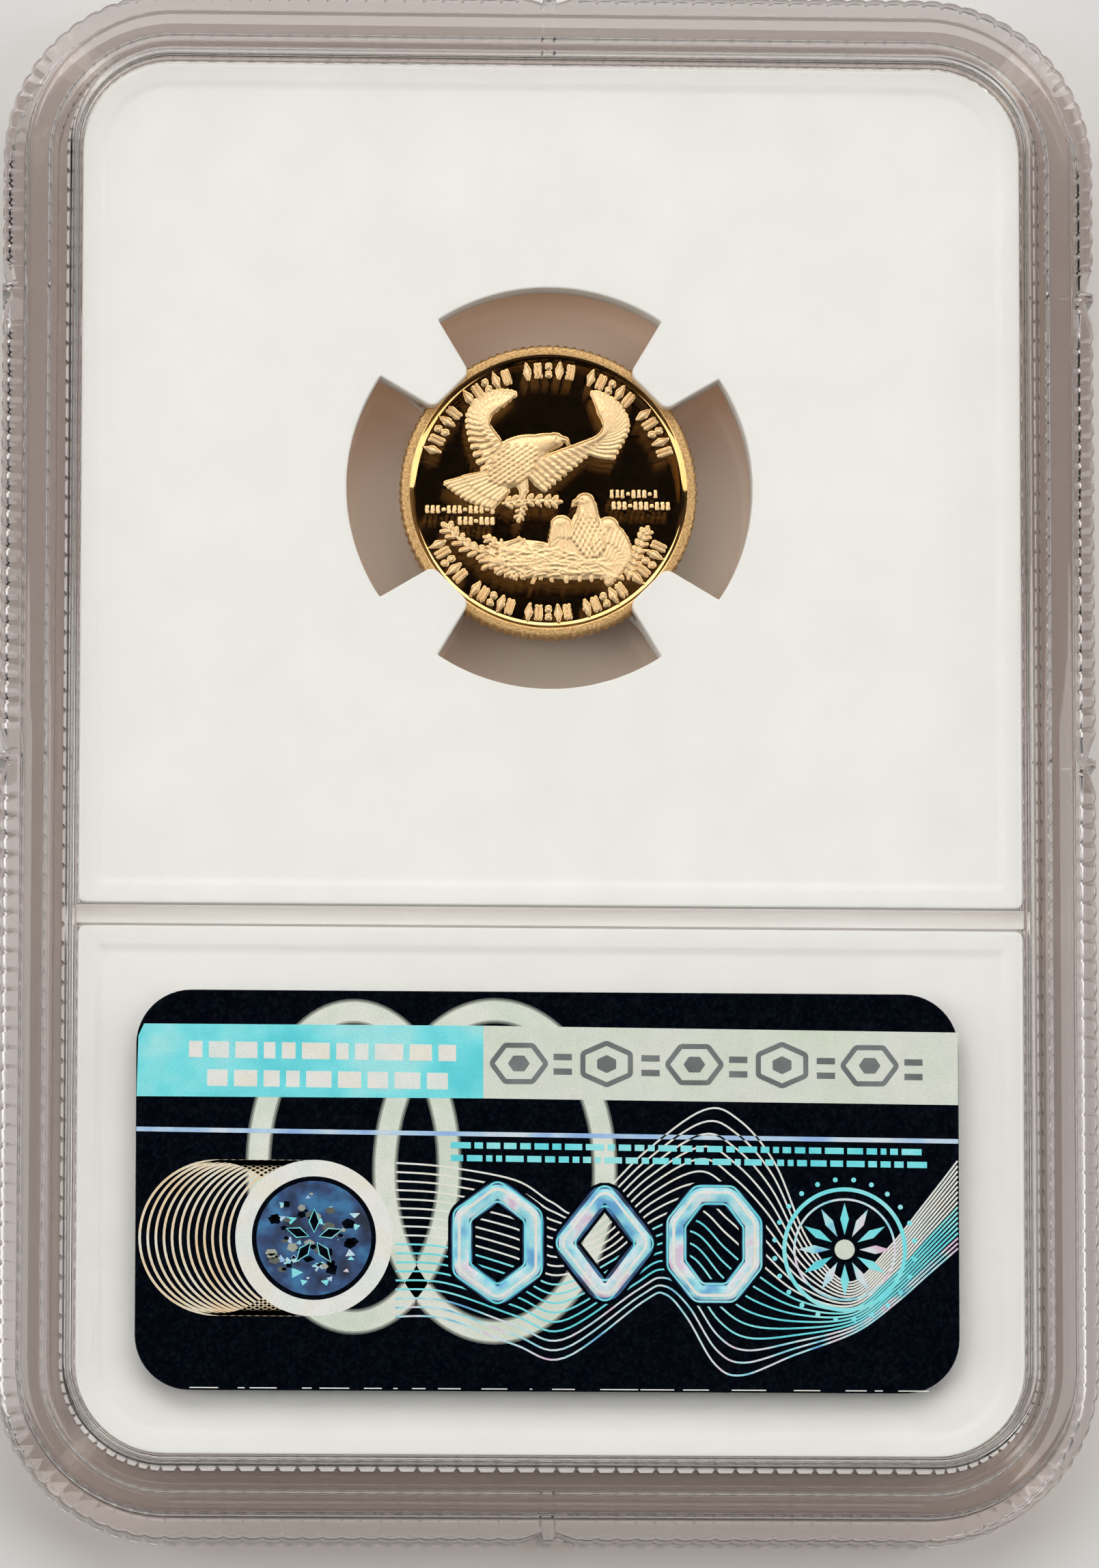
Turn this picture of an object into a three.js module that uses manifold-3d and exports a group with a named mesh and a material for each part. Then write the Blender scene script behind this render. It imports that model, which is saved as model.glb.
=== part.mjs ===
// A graded coin holder, lying on its front face with its back face up.
// Two clear welded shells hold a small gold coin in a white prong plate, a paper label
// and the label's white backing plate. A foil sticker sits on the back window.
// Millimetres, +Z up. The origin is the middle of the front face, where the holder rests,
// +Y points to the coin end and -Y to the label end.
import * as THREE from 'three';
import { mergeVertices } from 'three/addons/utils/BufferGeometryUtils.js';
import Module from 'manifold-3d';

const wasm = await Module();
wasm.setup();

// Whole holder
const slabWidth = 60.3;
const slabLength = 85.7;
const slabThickness = 8.0;
const outerCornerRadius = 9.5;

// Heights of the faces, from the front face up
const frontRingDepth = 0.7;
const frontWindowInside = 1.9;
const partingHeight = 4.0;
const backWindowInside = 5.9;
const shoulderHeight = 6.6;
const backWindowOutside = 7.2;

// Walls, measured inwards from the outer wall's face
const frontRingWidth = 1.05;
const backRimInset = 1.25;
const weldGrooveInset = 2.45;
const weldGrooveTop = 6.9;
const weldTongueInset = 2.7;
const weldTongueWidth = 0.3;
const weldTongueTop = 6.6;
const cavityWall = 0.45;

// Grip ribs moulded round the outer wall, and the plain notches that interrupt them
const ribPitch = 1.07;
const ribDepth = 0.2;
const notchHalfLength = 1.65;
const notchDepth = 0.45;
const notchTabHalfWidth = 0.28;
const sideNotchHeights = [26.1, 0.1];

// The bays of the two white plates, seen through the window
const bayCentreX = 0.15;
const bayHalfWidth = 25.98;
const bayTop = 38.95;
const bayBottom = -38.26;
const bayCornerRadius = 5.0;
const bayClearance = 0.15;
const dividerTop = -8.02;
const dividerBottom = -9.24;
const dividerRibWidth = 1.0;
const dividerRibGap = 0.3;
const windowMargin = 0.35;

// Coin and the white plate that holds it
const coinCentre = { x: 0.05, y: 15.25, z: 3.85 };
const coinDiameter = 16.5;
const coinThickness = 1.19;
const coinRimWidth = 0.62;
const coinFieldDepth = 0.12;
const coinReeds = 108;
const coinReedDepth = 0.14;
const coreBottom = 2.0;
const coreTop = 5.8;
const openingRadius = 11.2;
const prongRootHalfAngle = THREE.MathUtils.degToRad(11.6);
const prongTipHalfAngle = THREE.MathUtils.degToRad(10.4);
const prongTipRadius = 7.76;
const prongGrooveRadius = 8.6;
const prongGrooveHalfHeight = 0.7;
const plateInnerCornerRadius = 0.5;

// Label bay
const labelThickness = 0.3;
const labelBottom = 1.95;
const backingBottom = 2.35;
const labelMargin = 0.4;

// Foil sticker on the back window
const stickerWidth = 44.95;
const stickerLength = 21.9;
const stickerThickness = 0.1;
const stickerGlueGap = 0.02;
const stickerCentre = { x: -0.07, y: -23.85 };
const stickerCornerRadius = 3.0;

const cornerSegments = 12;
// How far a cutting tool runs past the face it cuts through
const cutOvershoot = 0.1;

function roundedRectangle(left, bottom, right, top, bottomRadius, topRadius) {
  const shape = new THREE.Shape();
  shape.moveTo(left + bottomRadius, bottom);
  shape.lineTo(right - bottomRadius, bottom);
  shape.absarc(right - bottomRadius, bottom + bottomRadius, bottomRadius, -Math.PI / 2, 0, false);
  shape.lineTo(right, top - topRadius);
  shape.absarc(right - topRadius, top - topRadius, topRadius, 0, Math.PI / 2, false);
  shape.lineTo(left + topRadius, top);
  shape.absarc(left + topRadius, top - topRadius, topRadius, Math.PI / 2, Math.PI, false);
  shape.lineTo(left, bottom + bottomRadius);
  shape.absarc(left + bottomRadius, bottom + bottomRadius, bottomRadius, Math.PI, 1.5 * Math.PI, false);
  return shape;
}

// A rounded rectangle parallel to the outer wall, a given distance inside it.
function insetOutline(inset) {
  const x = slabWidth / 2 - inset;
  const y = slabLength / 2 - inset;
  const radius = outerCornerRadius - inset;
  return roundedRectangle(-x, -y, x, y, radius, radius);
}

// The whole bay, grown by a margin on every side.
function bayOutline(margin) {
  const radius = bayCornerRadius + margin;
  return roundedRectangle(
    bayCentreX - bayHalfWidth - margin, bayBottom - margin,
    bayCentreX + bayHalfWidth + margin, bayTop + margin, radius, radius);
}

// A point on the outer wall, a distance s round it counter-clockwise from the middle of the
// +X side, moved inwards by a depth.
function outerWallPoint(s, depth) {
  const halfX = slabWidth / 2;
  const halfY = slabLength / 2;
  const straightX = halfX - outerCornerRadius;
  const straightY = halfY - outerCornerRadius;
  const quarterArc = outerCornerRadius * Math.PI / 2;
  const quarter = straightY + quarterArc + straightX;
  const turns = Math.floor(s / quarter);
  const along = s - turns * quarter;
  const mirrored = turns % 2 === 1;
  const d = mirrored ? quarter - along : along;
  let x, y;
  if (d < straightY) {
    x = halfX - depth;
    y = d;
  } else if (d < straightY + quarterArc) {
    const angle = (d - straightY) / outerCornerRadius;
    x = straightX + (outerCornerRadius - depth) * Math.cos(angle);
    y = straightY + (outerCornerRadius - depth) * Math.sin(angle);
  } else {
    x = straightX - (d - straightY - quarterArc);
    y = halfY - depth;
  }
  const signX = turns % 4 === 0 || turns % 4 === 3 ? 1 : -1;
  const signY = turns % 4 < 2 ? 1 : -1;
  return new THREE.Vector2(signX * x, signY * y);
}

// The ribbed outline: pointed ribs all round, with six notches. Each notch is a pair of
// wedges that deepen towards a narrow tab between them.
function ribbedOutline() {
  const quarter = slabWidth / 2 + slabLength / 2 - 2 * outerCornerRadius + outerCornerRadius * Math.PI / 2;
  const perimeter = 4 * quarter;
  const notches = [quarter, 3 * quarter];
  for (const y of sideNotchHeights) notches.push(y, 2 * quarter - y);
  const distanceToNotch = (s) => Math.min(...notches.map((n) => {
    const gap = Math.abs(s - n) % perimeter;
    return Math.min(gap, perimeter - gap);
  }));
  const samples = [];
  const ribs = Math.round(perimeter / ribPitch);
  for (let i = 0; i < ribs; i++) {
    for (const [part, depth] of [[0, ribDepth], [0.5, 0]]) {
      const s = (i + part) * perimeter / ribs;
      if (distanceToNotch(s) > notchHalfLength + ribPitch / 4) samples.push([s, depth]);
    }
  }
  for (const n of notches) {
    for (const side of [-1, 1]) {
      samples.push([n + side * notchHalfLength, 0]);
      samples.push([n + side * (notchTabHalfWidth + 0.02), notchDepth]);
      samples.push([n + side * notchTabHalfWidth, 0]);
    }
  }
  const wrapped = samples.map(([s, depth]) => [(s + perimeter) % perimeter, depth]);
  wrapped.sort((a, b) => a[0] - b[0]);
  return new THREE.Shape(wrapped.map(([s, depth]) => outerWallPoint(s, depth)));
}

function extrude(shape, bottom, top) {
  const geometry = new THREE.ExtrudeGeometry(shape, {
    depth: top - bottom,
    bevelEnabled: false,
    curveSegments: cornerSegments,
  });
  return geometry.translate(0, 0, bottom);
}

function toSolid(geometry) {
  const bare = geometry.clone();
  bare.deleteAttribute('normal');
  bare.deleteAttribute('uv');
  const merged = mergeVertices(bare, 1e-5);
  return new wasm.Manifold(new wasm.Mesh({
    numProp: 3,
    vertProperties: new Float32Array(merged.attributes.position.array),
    triVerts: new Uint32Array(merged.index.array),
  }));
}

function toGeometry(solid) {
  const mesh = solid.getMesh();
  const geometry = new THREE.BufferGeometry();
  geometry.setAttribute('position', new THREE.BufferAttribute(mesh.vertProperties, 3));
  geometry.setIndex(new THREE.BufferAttribute(mesh.triVerts, 1));
  geometry.computeVertexNormals();
  return geometry;
}

const block = (shape, bottom, top) => toSolid(extrude(shape, bottom, top));

// A closed band between two outlines.
function band(outer, inner, bottom, top) {
  return block(outer, bottom, top).subtract(block(inner, bottom - cutOvershoot, top + cutOvershoot));
}

// The clear rib that crosses the holder between the two bays.
function dividerRib(bottom, top) {
  const middle = (dividerTop + dividerBottom) / 2;
  const halfLength = bayHalfWidth + bayClearance + cutOvershoot;
  const box = new THREE.BoxGeometry(2 * halfLength, dividerRibWidth, top - bottom);
  return toSolid(box.translate(bayCentreX, middle, (bottom + top) / 2));
}

function makeBackShell() {
  const wall = block(ribbedOutline(), partingHeight, shoulderHeight);
  const raised = block(insetOutline(backRimInset), partingHeight, slabThickness);
  const window = block(bayOutline(windowMargin), backWindowOutside, slabThickness + cutOvershoot);
  const cavity = block(bayOutline(bayClearance), partingHeight - cutOvershoot, backWindowInside);
  const groove = band(insetOutline(weldGrooveInset), bayOutline(bayClearance + cavityWall),
    partingHeight - cutOvershoot, weldGrooveTop);
  const ribBottom = partingHeight + dividerRibGap / 2;
  return wall.add(raised).subtract(window).subtract(cavity).subtract(groove)
    .add(dividerRib(ribBottom, backWindowInside + cutOvershoot));
}

function makeFrontShell() {
  const wall = block(ribbedOutline(), 0, partingHeight);
  const recess = block(insetOutline(frontRingWidth), -cutOvershoot, frontRingDepth);
  const cavity = block(bayOutline(bayClearance), frontWindowInside, partingHeight + cutOvershoot);
  const tongue = band(insetOutline(weldTongueInset), insetOutline(weldTongueInset + weldTongueWidth),
    partingHeight - cutOvershoot, weldTongueTop);
  const ribTop = partingHeight - dividerRibGap / 2;
  return wall.subtract(recess).subtract(cavity).add(tongue)
    .add(dividerRib(frontWindowInside - cutOvershoot, ribTop));
}

// The hole in the coin plate: a circle with four prongs that reach in on the diagonals.
function prongedOpening() {
  const path = new THREE.Path();
  const { x, y } = coinCentre;
  for (let i = 0; i < 4; i++) {
    const prong = Math.PI / 4 + i * Math.PI / 2;
    const nextProng = prong + Math.PI / 2;
    const tipStart = prong - prongTipHalfAngle;
    if (i === 0) path.moveTo(x + openingRadius * Math.cos(prong - prongRootHalfAngle),
      y + openingRadius * Math.sin(prong - prongRootHalfAngle));
    path.lineTo(x + prongTipRadius * Math.cos(tipStart), y + prongTipRadius * Math.sin(tipStart));
    path.absarc(x, y, prongTipRadius, tipStart, prong + prongTipHalfAngle, false);
    path.absarc(x, y, openingRadius, prong + prongRootHalfAngle, nextProng - prongRootHalfAngle, false);
  }
  return path;
}

function makeCoinPlate() {
  const outline = roundedRectangle(bayCentreX - bayHalfWidth, dividerTop,
    bayCentreX + bayHalfWidth, bayTop, plateInnerCornerRadius, bayCornerRadius);
  outline.holes.push(prongedOpening());
  const groove = new THREE.CylinderGeometry(prongGrooveRadius, prongGrooveRadius,
    2 * prongGrooveHalfHeight, 64);
  groove.rotateX(Math.PI / 2).translate(coinCentre.x, coinCentre.y, coinCentre.z);
  return block(outline, coreBottom, coreTop).subtract(toSolid(groove));
}

function makeCoin() {
  const radius = coinDiameter / 2;
  const points = [];
  for (let i = 0; i < 2 * coinReeds; i++) {
    const angle = Math.PI * i / coinReeds;
    const r = i % 2 === 0 ? radius : radius - coinReedDepth;
    points.push(new THREE.Vector2(r * Math.cos(angle), r * Math.sin(angle)));
  }
  const blank = block(new THREE.Shape(points), -coinThickness / 2, coinThickness / 2);
  const field = new THREE.CylinderGeometry(radius - coinRimWidth, radius - coinRimWidth,
    2 * coinFieldDepth, 64).rotateX(Math.PI / 2);
  const back = toSolid(field.clone().translate(0, 0, coinThickness / 2));
  const front = toSolid(field.clone().translate(0, 0, -coinThickness / 2));
  return blank.subtract(back).subtract(front);
}

function makeLabelBacking() {
  return block(roundedRectangle(bayCentreX - bayHalfWidth, bayBottom,
    bayCentreX + bayHalfWidth, dividerBottom, bayCornerRadius, plateInnerCornerRadius),
  backingBottom, coreTop);
}

function makeLabel() {
  return block(roundedRectangle(bayCentreX - bayHalfWidth + labelMargin, bayBottom + labelMargin,
    bayCentreX + bayHalfWidth - labelMargin, dividerBottom - labelMargin,
    bayCornerRadius - labelMargin, plateInnerCornerRadius), 0, labelThickness);
}

function makeSticker() {
  const x = stickerWidth / 2;
  const y = stickerLength / 2;
  return block(roundedRectangle(-x, -y, x, y, stickerCornerRadius, stickerCornerRadius),
    0, stickerThickness);
}

function piece(name, solid, colour, roughness, metalness, opacity = 1) {
  const material = new THREE.MeshStandardMaterial({ color: colour, roughness, metalness });
  material.transparent = opacity < 1;
  material.opacity = opacity;
  const mesh = new THREE.Mesh(toGeometry(solid), material);
  mesh.name = name;
  return mesh;
}

const backShell = piece('back_shell', makeBackShell(), 0xd9d6d2, 0.05, 0, 0.35);
const frontShell = piece('front_shell', makeFrontShell(), 0xd9d6d2, 0.05, 0, 0.35);
const coinPlate = piece('coin_plate', makeCoinPlate(), 0xe6e6e2, 0.55, 0);
const labelBacking = piece('label_backing', makeLabelBacking(), 0xe0e0dc, 0.55, 0);

const coin = piece('coin', makeCoin(), 0xd9a860, 0.2, 1);
coin.position.set(coinCentre.x, coinCentre.y, coinCentre.z);

const label = piece('front_label', makeLabel(), 0xf2f0ea, 0.7, 0);
label.position.z = labelBottom;

const sticker = piece('hologram_sticker', makeSticker(), 0x0a0a10, 0.2, 0.6);
sticker.position.set(stickerCentre.x, stickerCentre.y, backWindowOutside + stickerGlueGap);

const holder = new THREE.Group();
holder.add(frontShell, backShell, coinPlate, labelBacking, coin, label, sticker);

export default holder;
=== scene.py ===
from math import acos, atan2, cos, pi, radians, sin, sqrt, tan

import bmesh
import bpy
import numpy as np
from mathutils import Matrix, Vector
from mathutils.geometry import tessellate_polygon


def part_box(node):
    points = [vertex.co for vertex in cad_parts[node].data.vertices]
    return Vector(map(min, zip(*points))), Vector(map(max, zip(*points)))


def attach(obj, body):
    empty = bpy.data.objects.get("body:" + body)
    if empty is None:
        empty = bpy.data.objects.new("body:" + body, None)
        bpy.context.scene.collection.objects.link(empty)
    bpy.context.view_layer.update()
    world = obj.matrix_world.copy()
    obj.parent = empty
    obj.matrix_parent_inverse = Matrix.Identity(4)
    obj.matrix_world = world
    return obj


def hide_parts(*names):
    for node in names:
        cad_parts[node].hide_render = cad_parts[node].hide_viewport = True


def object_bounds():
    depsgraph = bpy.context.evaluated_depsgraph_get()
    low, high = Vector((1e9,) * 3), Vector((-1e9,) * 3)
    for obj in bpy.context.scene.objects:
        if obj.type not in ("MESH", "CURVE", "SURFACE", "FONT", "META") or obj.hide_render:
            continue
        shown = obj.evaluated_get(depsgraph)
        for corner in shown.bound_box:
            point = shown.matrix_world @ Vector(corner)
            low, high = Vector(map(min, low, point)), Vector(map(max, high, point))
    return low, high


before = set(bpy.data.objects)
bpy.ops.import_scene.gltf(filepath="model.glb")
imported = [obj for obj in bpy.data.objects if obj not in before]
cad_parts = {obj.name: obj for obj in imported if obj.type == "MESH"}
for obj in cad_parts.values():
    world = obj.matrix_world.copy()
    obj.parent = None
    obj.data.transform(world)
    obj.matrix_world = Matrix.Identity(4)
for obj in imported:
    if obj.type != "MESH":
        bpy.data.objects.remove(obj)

# A graded coin holder: two clear welded shells with a coin, its white plates, a paper label and a
# foil sticker. It lies on its front face. Lengths below are millimetres unless a name says metres.

MM = 0.001
BODY = "root"
cad_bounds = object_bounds()


def box_mm(node):
    """A CAD node's lowest and highest corners, in millimetres."""
    low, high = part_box(node)
    return np.array(low) / MM, np.array(high) / MM


# ---------------------------------------------------------------- sizes

slab_low, slab_high = np.array(cad_bounds[0]) / MM, np.array(cad_bounds[1]) / MM
SLAB_HALF_X, SLAB_HALF_Y = (slab_high[:2] - slab_low[:2]) / 2
SLAB_TOP = slab_high[2]
CORNER_RADIUS = 9.5

plate_low, plate_high = box_mm("coin_plate")
backing_low, backing_high = box_mm("label_backing")
BAY_LEFT, BAY_RIGHT = plate_low[0], plate_high[0]
BAY_BOTTOM, BAY_TOP = backing_low[1], plate_high[1]
BAY_RADIUS = 5.0
DIVIDER_TOP, DIVIDER_BOTTOM = plate_low[1], backing_high[1]

FRONT_RING_DEPTH = 0.7
FRONT_WINDOW_INSIDE = 1.9
PARTING = box_mm("back_shell")[0][2]
BACK_WINDOW_INSIDE = 5.9
SHOULDER = 6.6
BACK_WINDOW_OUTSIDE = 7.2
SEAM_GAP = 0.06

FRONT_RING_WIDTH = 1.05
BACK_RIM_INSET = 1.25
GROOVE_INSET = 2.45
GROOVE_TOP = 6.9
TONGUE_INSET = 2.7
TONGUE_WIDTH = 0.3
TONGUE_TOP = box_mm("front_shell")[1][2]
CAVITY_WALL = 0.45
BAY_CLEARANCE = 0.15

RIBS = 258
SAMPLES_PER_RIB = 8
RIB_DEPTH = 0.12
WELD_RIB_DEPTH = 0.2
WELD_RIB_HEIGHT = 1.15
PLAIN_BAND = 0.8
NOTCH_HALF_LENGTH = 1.65
NOTCH_DEPTH = 0.45
NOTCH_TAB_HALF = 0.28
SIDE_NOTCHES = (26.1, 0.1)


# ---------------------------------------------------------------- mesh tools

SHARP_CORNER = radians(40)
MITRE_LIMIT = 0.4


def mesh_object(name, vertices, faces, smooth=True):
    """A new object from millimetre vertices, linked to the scene, riding on the holder."""
    mesh = bpy.data.meshes.new(name)
    mesh.from_pydata((np.asarray(vertices, float) * MM).tolist(), [], faces)
    mesh.validate()
    thing = bpy.data.objects.new(name, mesh)
    bpy.context.scene.collection.objects.link(thing)
    shell = bmesh.new()
    shell.from_mesh(mesh)
    bmesh.ops.remove_doubles(shell, verts=shell.verts, dist=1e-8)
    bmesh.ops.recalc_face_normals(shell, faces=shell.faces)
    for face in shell.faces:
        face.smooth = smooth and len(face.verts) <= 4
    shell.to_mesh(mesh)
    shell.free()
    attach(thing, BODY)
    return thing


def face_centres(thing):
    """The middles of an object's faces, in millimetres."""
    centres = np.empty(len(thing.data.polygons) * 3)
    thing.data.polygons.foreach_get("center", centres)
    return centres.reshape(-1, 3) / MM


def finish_faces(thing, finishes):
    """Set each face's material by its number."""
    thing.data.polygons.foreach_set("material_index", np.array(finishes, np.int32))


def apply_modifiers(thing):
    """Replace an object's mesh with what its modifiers make of it."""
    graph = bpy.context.evaluated_depsgraph_get()
    mesh = bpy.data.meshes.new_from_object(thing.evaluated_get(graph))
    mesh.materials.clear()
    thing.modifiers.clear()
    thing.data = mesh


def flatten_normals(thing):
    """Keep corners sharp, and let large flat faces set the shading beside their rounded edges."""
    shell = bmesh.new()
    shell.from_mesh(thing.data)
    for edge in shell.edges:
        edge.smooth = edge.calc_face_angle(0.0) < SHARP_CORNER
    shell.to_mesh(thing.data)
    shell.free()
    weighted = thing.modifiers.new("weighted", "WEIGHTED_NORMAL")
    weighted.mode = "FACE_AREA"
    weighted.keep_sharp = True
    apply_modifiers(thing)


def side_faces(start, count, levels):
    """Quads between stacked loops of one outline."""
    faces = []
    for k in range(levels - 1):
        a, b = start + k * count, start + (k + 1) * count
        faces += [[a + i, a + (i + 1) % count, b + (i + 1) % count, b + i] for i in range(count)]
    return faces


def loft(name, loops):
    """A closed body through a stack of loops with equal numbers of points, capped at both ends."""
    count = len(loops[0])
    last = (len(loops) - 1) * count
    faces = [list(range(count)), *side_faces(0, count, len(loops)), list(range(last, last + count))]
    return mesh_object(name, np.concatenate(loops), faces)


# ---------------------------------------------------------------- outer wall and profiles

WALL_POINTS = RIBS * SAMPLES_PER_RIB
STRAIGHT_X = SLAB_HALF_X - CORNER_RADIUS
STRAIGHT_Y = SLAB_HALF_Y - CORNER_RADIUS
CORNER_ARC = CORNER_RADIUS * pi / 2
QUARTER = STRAIGHT_X + STRAIGHT_Y + CORNER_ARC
wall_s = np.arange(WALL_POINTS) * 4 * QUARTER / WALL_POINTS
wall_turn = np.minimum((wall_s // QUARTER).astype(int), 3)
wall_d = wall_s - wall_turn * QUARTER
wall_d = np.where(wall_turn % 2 == 1, QUARTER - wall_d, wall_d)
wall_sign_x = np.where((wall_turn == 0) | (wall_turn == 3), 1.0, -1.0)
wall_sign_y = np.where(wall_turn < 2, 1.0, -1.0)


def rectangle_loop(centre, half, radius, z, depth=0.0):
    """Points round a rounded rectangle, in step with the points round the outer wall."""
    along_y = np.clip(wall_d / STRAIGHT_Y, 0, 1) * (half[1] - radius)
    along_x = (1 - np.clip((wall_d - STRAIGHT_Y - CORNER_ARC) / STRAIGHT_X, 0, 1)) * (half[0] - radius)
    angle = np.clip((wall_d - STRAIGHT_Y) / CORNER_RADIUS, 0, pi / 2)
    x = along_x + (radius - depth) * np.cos(angle)
    y = along_y + (radius - depth) * np.sin(angle)
    return np.stack([centre[0] + wall_sign_x * x, centre[1] + wall_sign_y * y,
                     np.full(WALL_POINTS, z)], 1)


def distance_round(s, places):
    """The shortest way round the wall from s to any of some places."""
    gaps = [(s - place + 2 * QUARTER) % (4 * QUARTER) - 2 * QUARTER for place in places]
    return np.min(np.abs(gaps), axis=0)


def rib_depths():
    """How far the outer wall's face lies inside its outline: rounded ribs, and six notches."""
    part = (wall_s / (4 * QUARTER / RIBS)) % 1
    ribs = RIB_DEPTH * np.abs(2 * part - 1) ** 2.5
    places = [QUARTER, 3 * QUARTER]
    for y in SIDE_NOTCHES:
        places += [y, 2 * QUARTER - y]
    away = distance_round(wall_s, places)
    wedge = NOTCH_DEPTH * (NOTCH_HALF_LENGTH - away) / (NOTCH_HALF_LENGTH - NOTCH_TAB_HALF)
    return np.where(away > NOTCH_HALF_LENGTH, ribs, np.where(away < NOTCH_TAB_HALF, 0.0, wedge))


def rib_root_depths():
    """The same wall where it is plain: notches, and otherwise the depth of the ribs' roots."""
    return np.maximum(rib_depths(), RIB_DEPTH)


def weld_rib_depths():
    """Fine crush ribs on the weld groove's inner wall."""
    part = (wall_s / (4 * QUARTER / RIBS)) % 1
    return -WELD_RIB_DEPTH * (part < 0.75)


BAY_CENTRE = ((BAY_LEFT + BAY_RIGHT) / 2, (BAY_BOTTOM + BAY_TOP) / 2)
BAY_HALF = ((BAY_RIGHT - BAY_LEFT) / 2, (BAY_TOP - BAY_BOTTOM) / 2)
BAY_INSET = SLAB_HALF_X - BAY_HALF[0]


def wall_loop(inset, z, depth=0.0):
    """A loop parallel to the outer wall."""
    return rectangle_loop((0, 0), (SLAB_HALF_X - inset, SLAB_HALF_Y - inset),
                          CORNER_RADIUS - inset, z, depth)


def bay_loop(inset, z, depth=0.0):
    """A loop parallel to the edge of the bays. An inset of BAY_INSET is that edge."""
    margin = BAY_INSET - inset
    return rectangle_loop(BAY_CENTRE, (BAY_HALF[0] + margin, BAY_HALF[1] + margin),
                          BAY_RADIUS + margin, z, depth)


def round_corner(before, here, after, radius, segments=6):
    """The points of an arc that rounds one corner of an outline or a section."""
    here = Vector(here)
    to_a, to_b = (Vector(before) - here).normalized(), (Vector(after) - here).normalized()
    half = acos(max(-1.0, min(1.0, to_a.dot(to_b)))) / 2
    middle = here + (to_a + to_b).normalized() * radius / sin(half)
    start, end = here + to_a * radius / tan(half), here + to_b * radius / tan(half)
    sweep = pi - 2 * half
    points = []
    for i in range(segments + 1):
        t = sweep * i / segments
        arm = (start - middle) * sin(sweep - t) + (end - middle) * sin(t)
        points.append(tuple(middle + arm / sin(sweep)))
    return points


def round_profile(corners, segments=3):
    """Loops up a section with rounded corners. A corner is (loop function, inset, z, radius, depths)."""
    loops = []
    for k, (loop, inset, z, radius, depths) in enumerate(corners):
        turned = [(inset, z)]
        if radius:
            turned = round_corner(corners[k - 1][1:3], (inset, z), corners[k + 1][1:3], radius, segments)
        loops += [loop(x, y, depths) for x, y in turned]
    return loops


WINDOW_EDGE = BAY_INSET + 0.3
CAVITY_EDGE = BAY_INSET - BAY_CLEARANCE
DIVIDER_MIDDLE = (DIVIDER_TOP + DIVIDER_BOTTOM) / 2
DIVIDER_WIDTH = 1.0
DIVIDER_GAP = 0.3


def add_divider(shell, bottom, top):
    """Weld half of the clear rib between the bays onto a shell, and finish its normals."""
    half_x, half_y = BAY_HALF[0] + BAY_CLEARANCE + 0.1, DIVIDER_WIDTH / 2
    corners = [(BAY_CENTRE[0] + x, DIVIDER_MIDDLE + y, z)
               for z in (bottom, top) for y in (-half_y, half_y) for x in (-half_x, half_x)]
    faces = [[0, 2, 3, 1], [4, 5, 7, 6], [0, 1, 5, 4], [2, 6, 7, 3], [0, 4, 6, 2], [1, 3, 7, 5]]
    mesh = bpy.data.meshes.new("divider")
    mesh.from_pydata((np.array(corners) * MM).tolist(), [], faces)
    divider = bpy.data.objects.new("divider", mesh)
    bpy.context.scene.collection.objects.link(divider)
    join = shell.modifiers.new("join", "BOOLEAN")
    join.operation = "UNION"
    join.solver = "MANIFOLD"
    join.object = divider
    apply_modifiers(shell)
    bpy.data.objects.remove(divider)
    flatten_normals(shell)


def make_back_shell():
    """The shell on the coin's back: window, rim, weld groove and crush ribs."""
    bottom = PARTING + SEAM_GAP / 2
    ribs, teeth = rib_depths(), weld_rib_depths()
    section = [
        (bay_loop, WINDOW_EDGE, BACK_WINDOW_OUTSIDE, 0, 0),
        (bay_loop, BAY_INSET - 0.15, BACK_WINDOW_OUTSIDE, 0.2, 0),
        (bay_loop, BAY_INSET - 0.45, SLAB_TOP, 0.2, 0),
        (wall_loop, BACK_RIM_INSET, SLAB_TOP, 0.45, 0),
        (wall_loop, BACK_RIM_INSET - 0.04, SHOULDER, 0.15, 0),
        (wall_loop, 0.0, SHOULDER, 0.2, ribs),
        (wall_loop, 0.0, bottom, 0.06, ribs),
        (wall_loop, GROOVE_INSET, bottom, 0, 0),
        (wall_loop, GROOVE_INSET + 0.05, GROOVE_TOP, 0.2, 0),
        (bay_loop, CAVITY_EDGE - CAVITY_WALL, GROOVE_TOP, 0.15, 0),
        (bay_loop, CAVITY_EDGE - CAVITY_WALL, bottom + WELD_RIB_HEIGHT + 0.02, 0, 0),
        (bay_loop, CAVITY_EDGE - CAVITY_WALL, bottom + WELD_RIB_HEIGHT, 0, teeth),
        (bay_loop, CAVITY_EDGE - CAVITY_WALL, bottom, 0, teeth),
        (bay_loop, CAVITY_EDGE, bottom, 0, 0),
        (bay_loop, CAVITY_EDGE + 0.03, BACK_WINDOW_INSIDE, 0.12, 0),
        (bay_loop, WINDOW_EDGE, BACK_WINDOW_INSIDE, 0, 0),
    ]
    shell = loft("back_shell_clear", round_profile(section))
    add_divider(shell, PARTING + DIVIDER_GAP / 2, BACK_WINDOW_INSIDE + 0.1)
    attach(shell, BODY)
    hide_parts("back_shell")
    return shell


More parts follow.
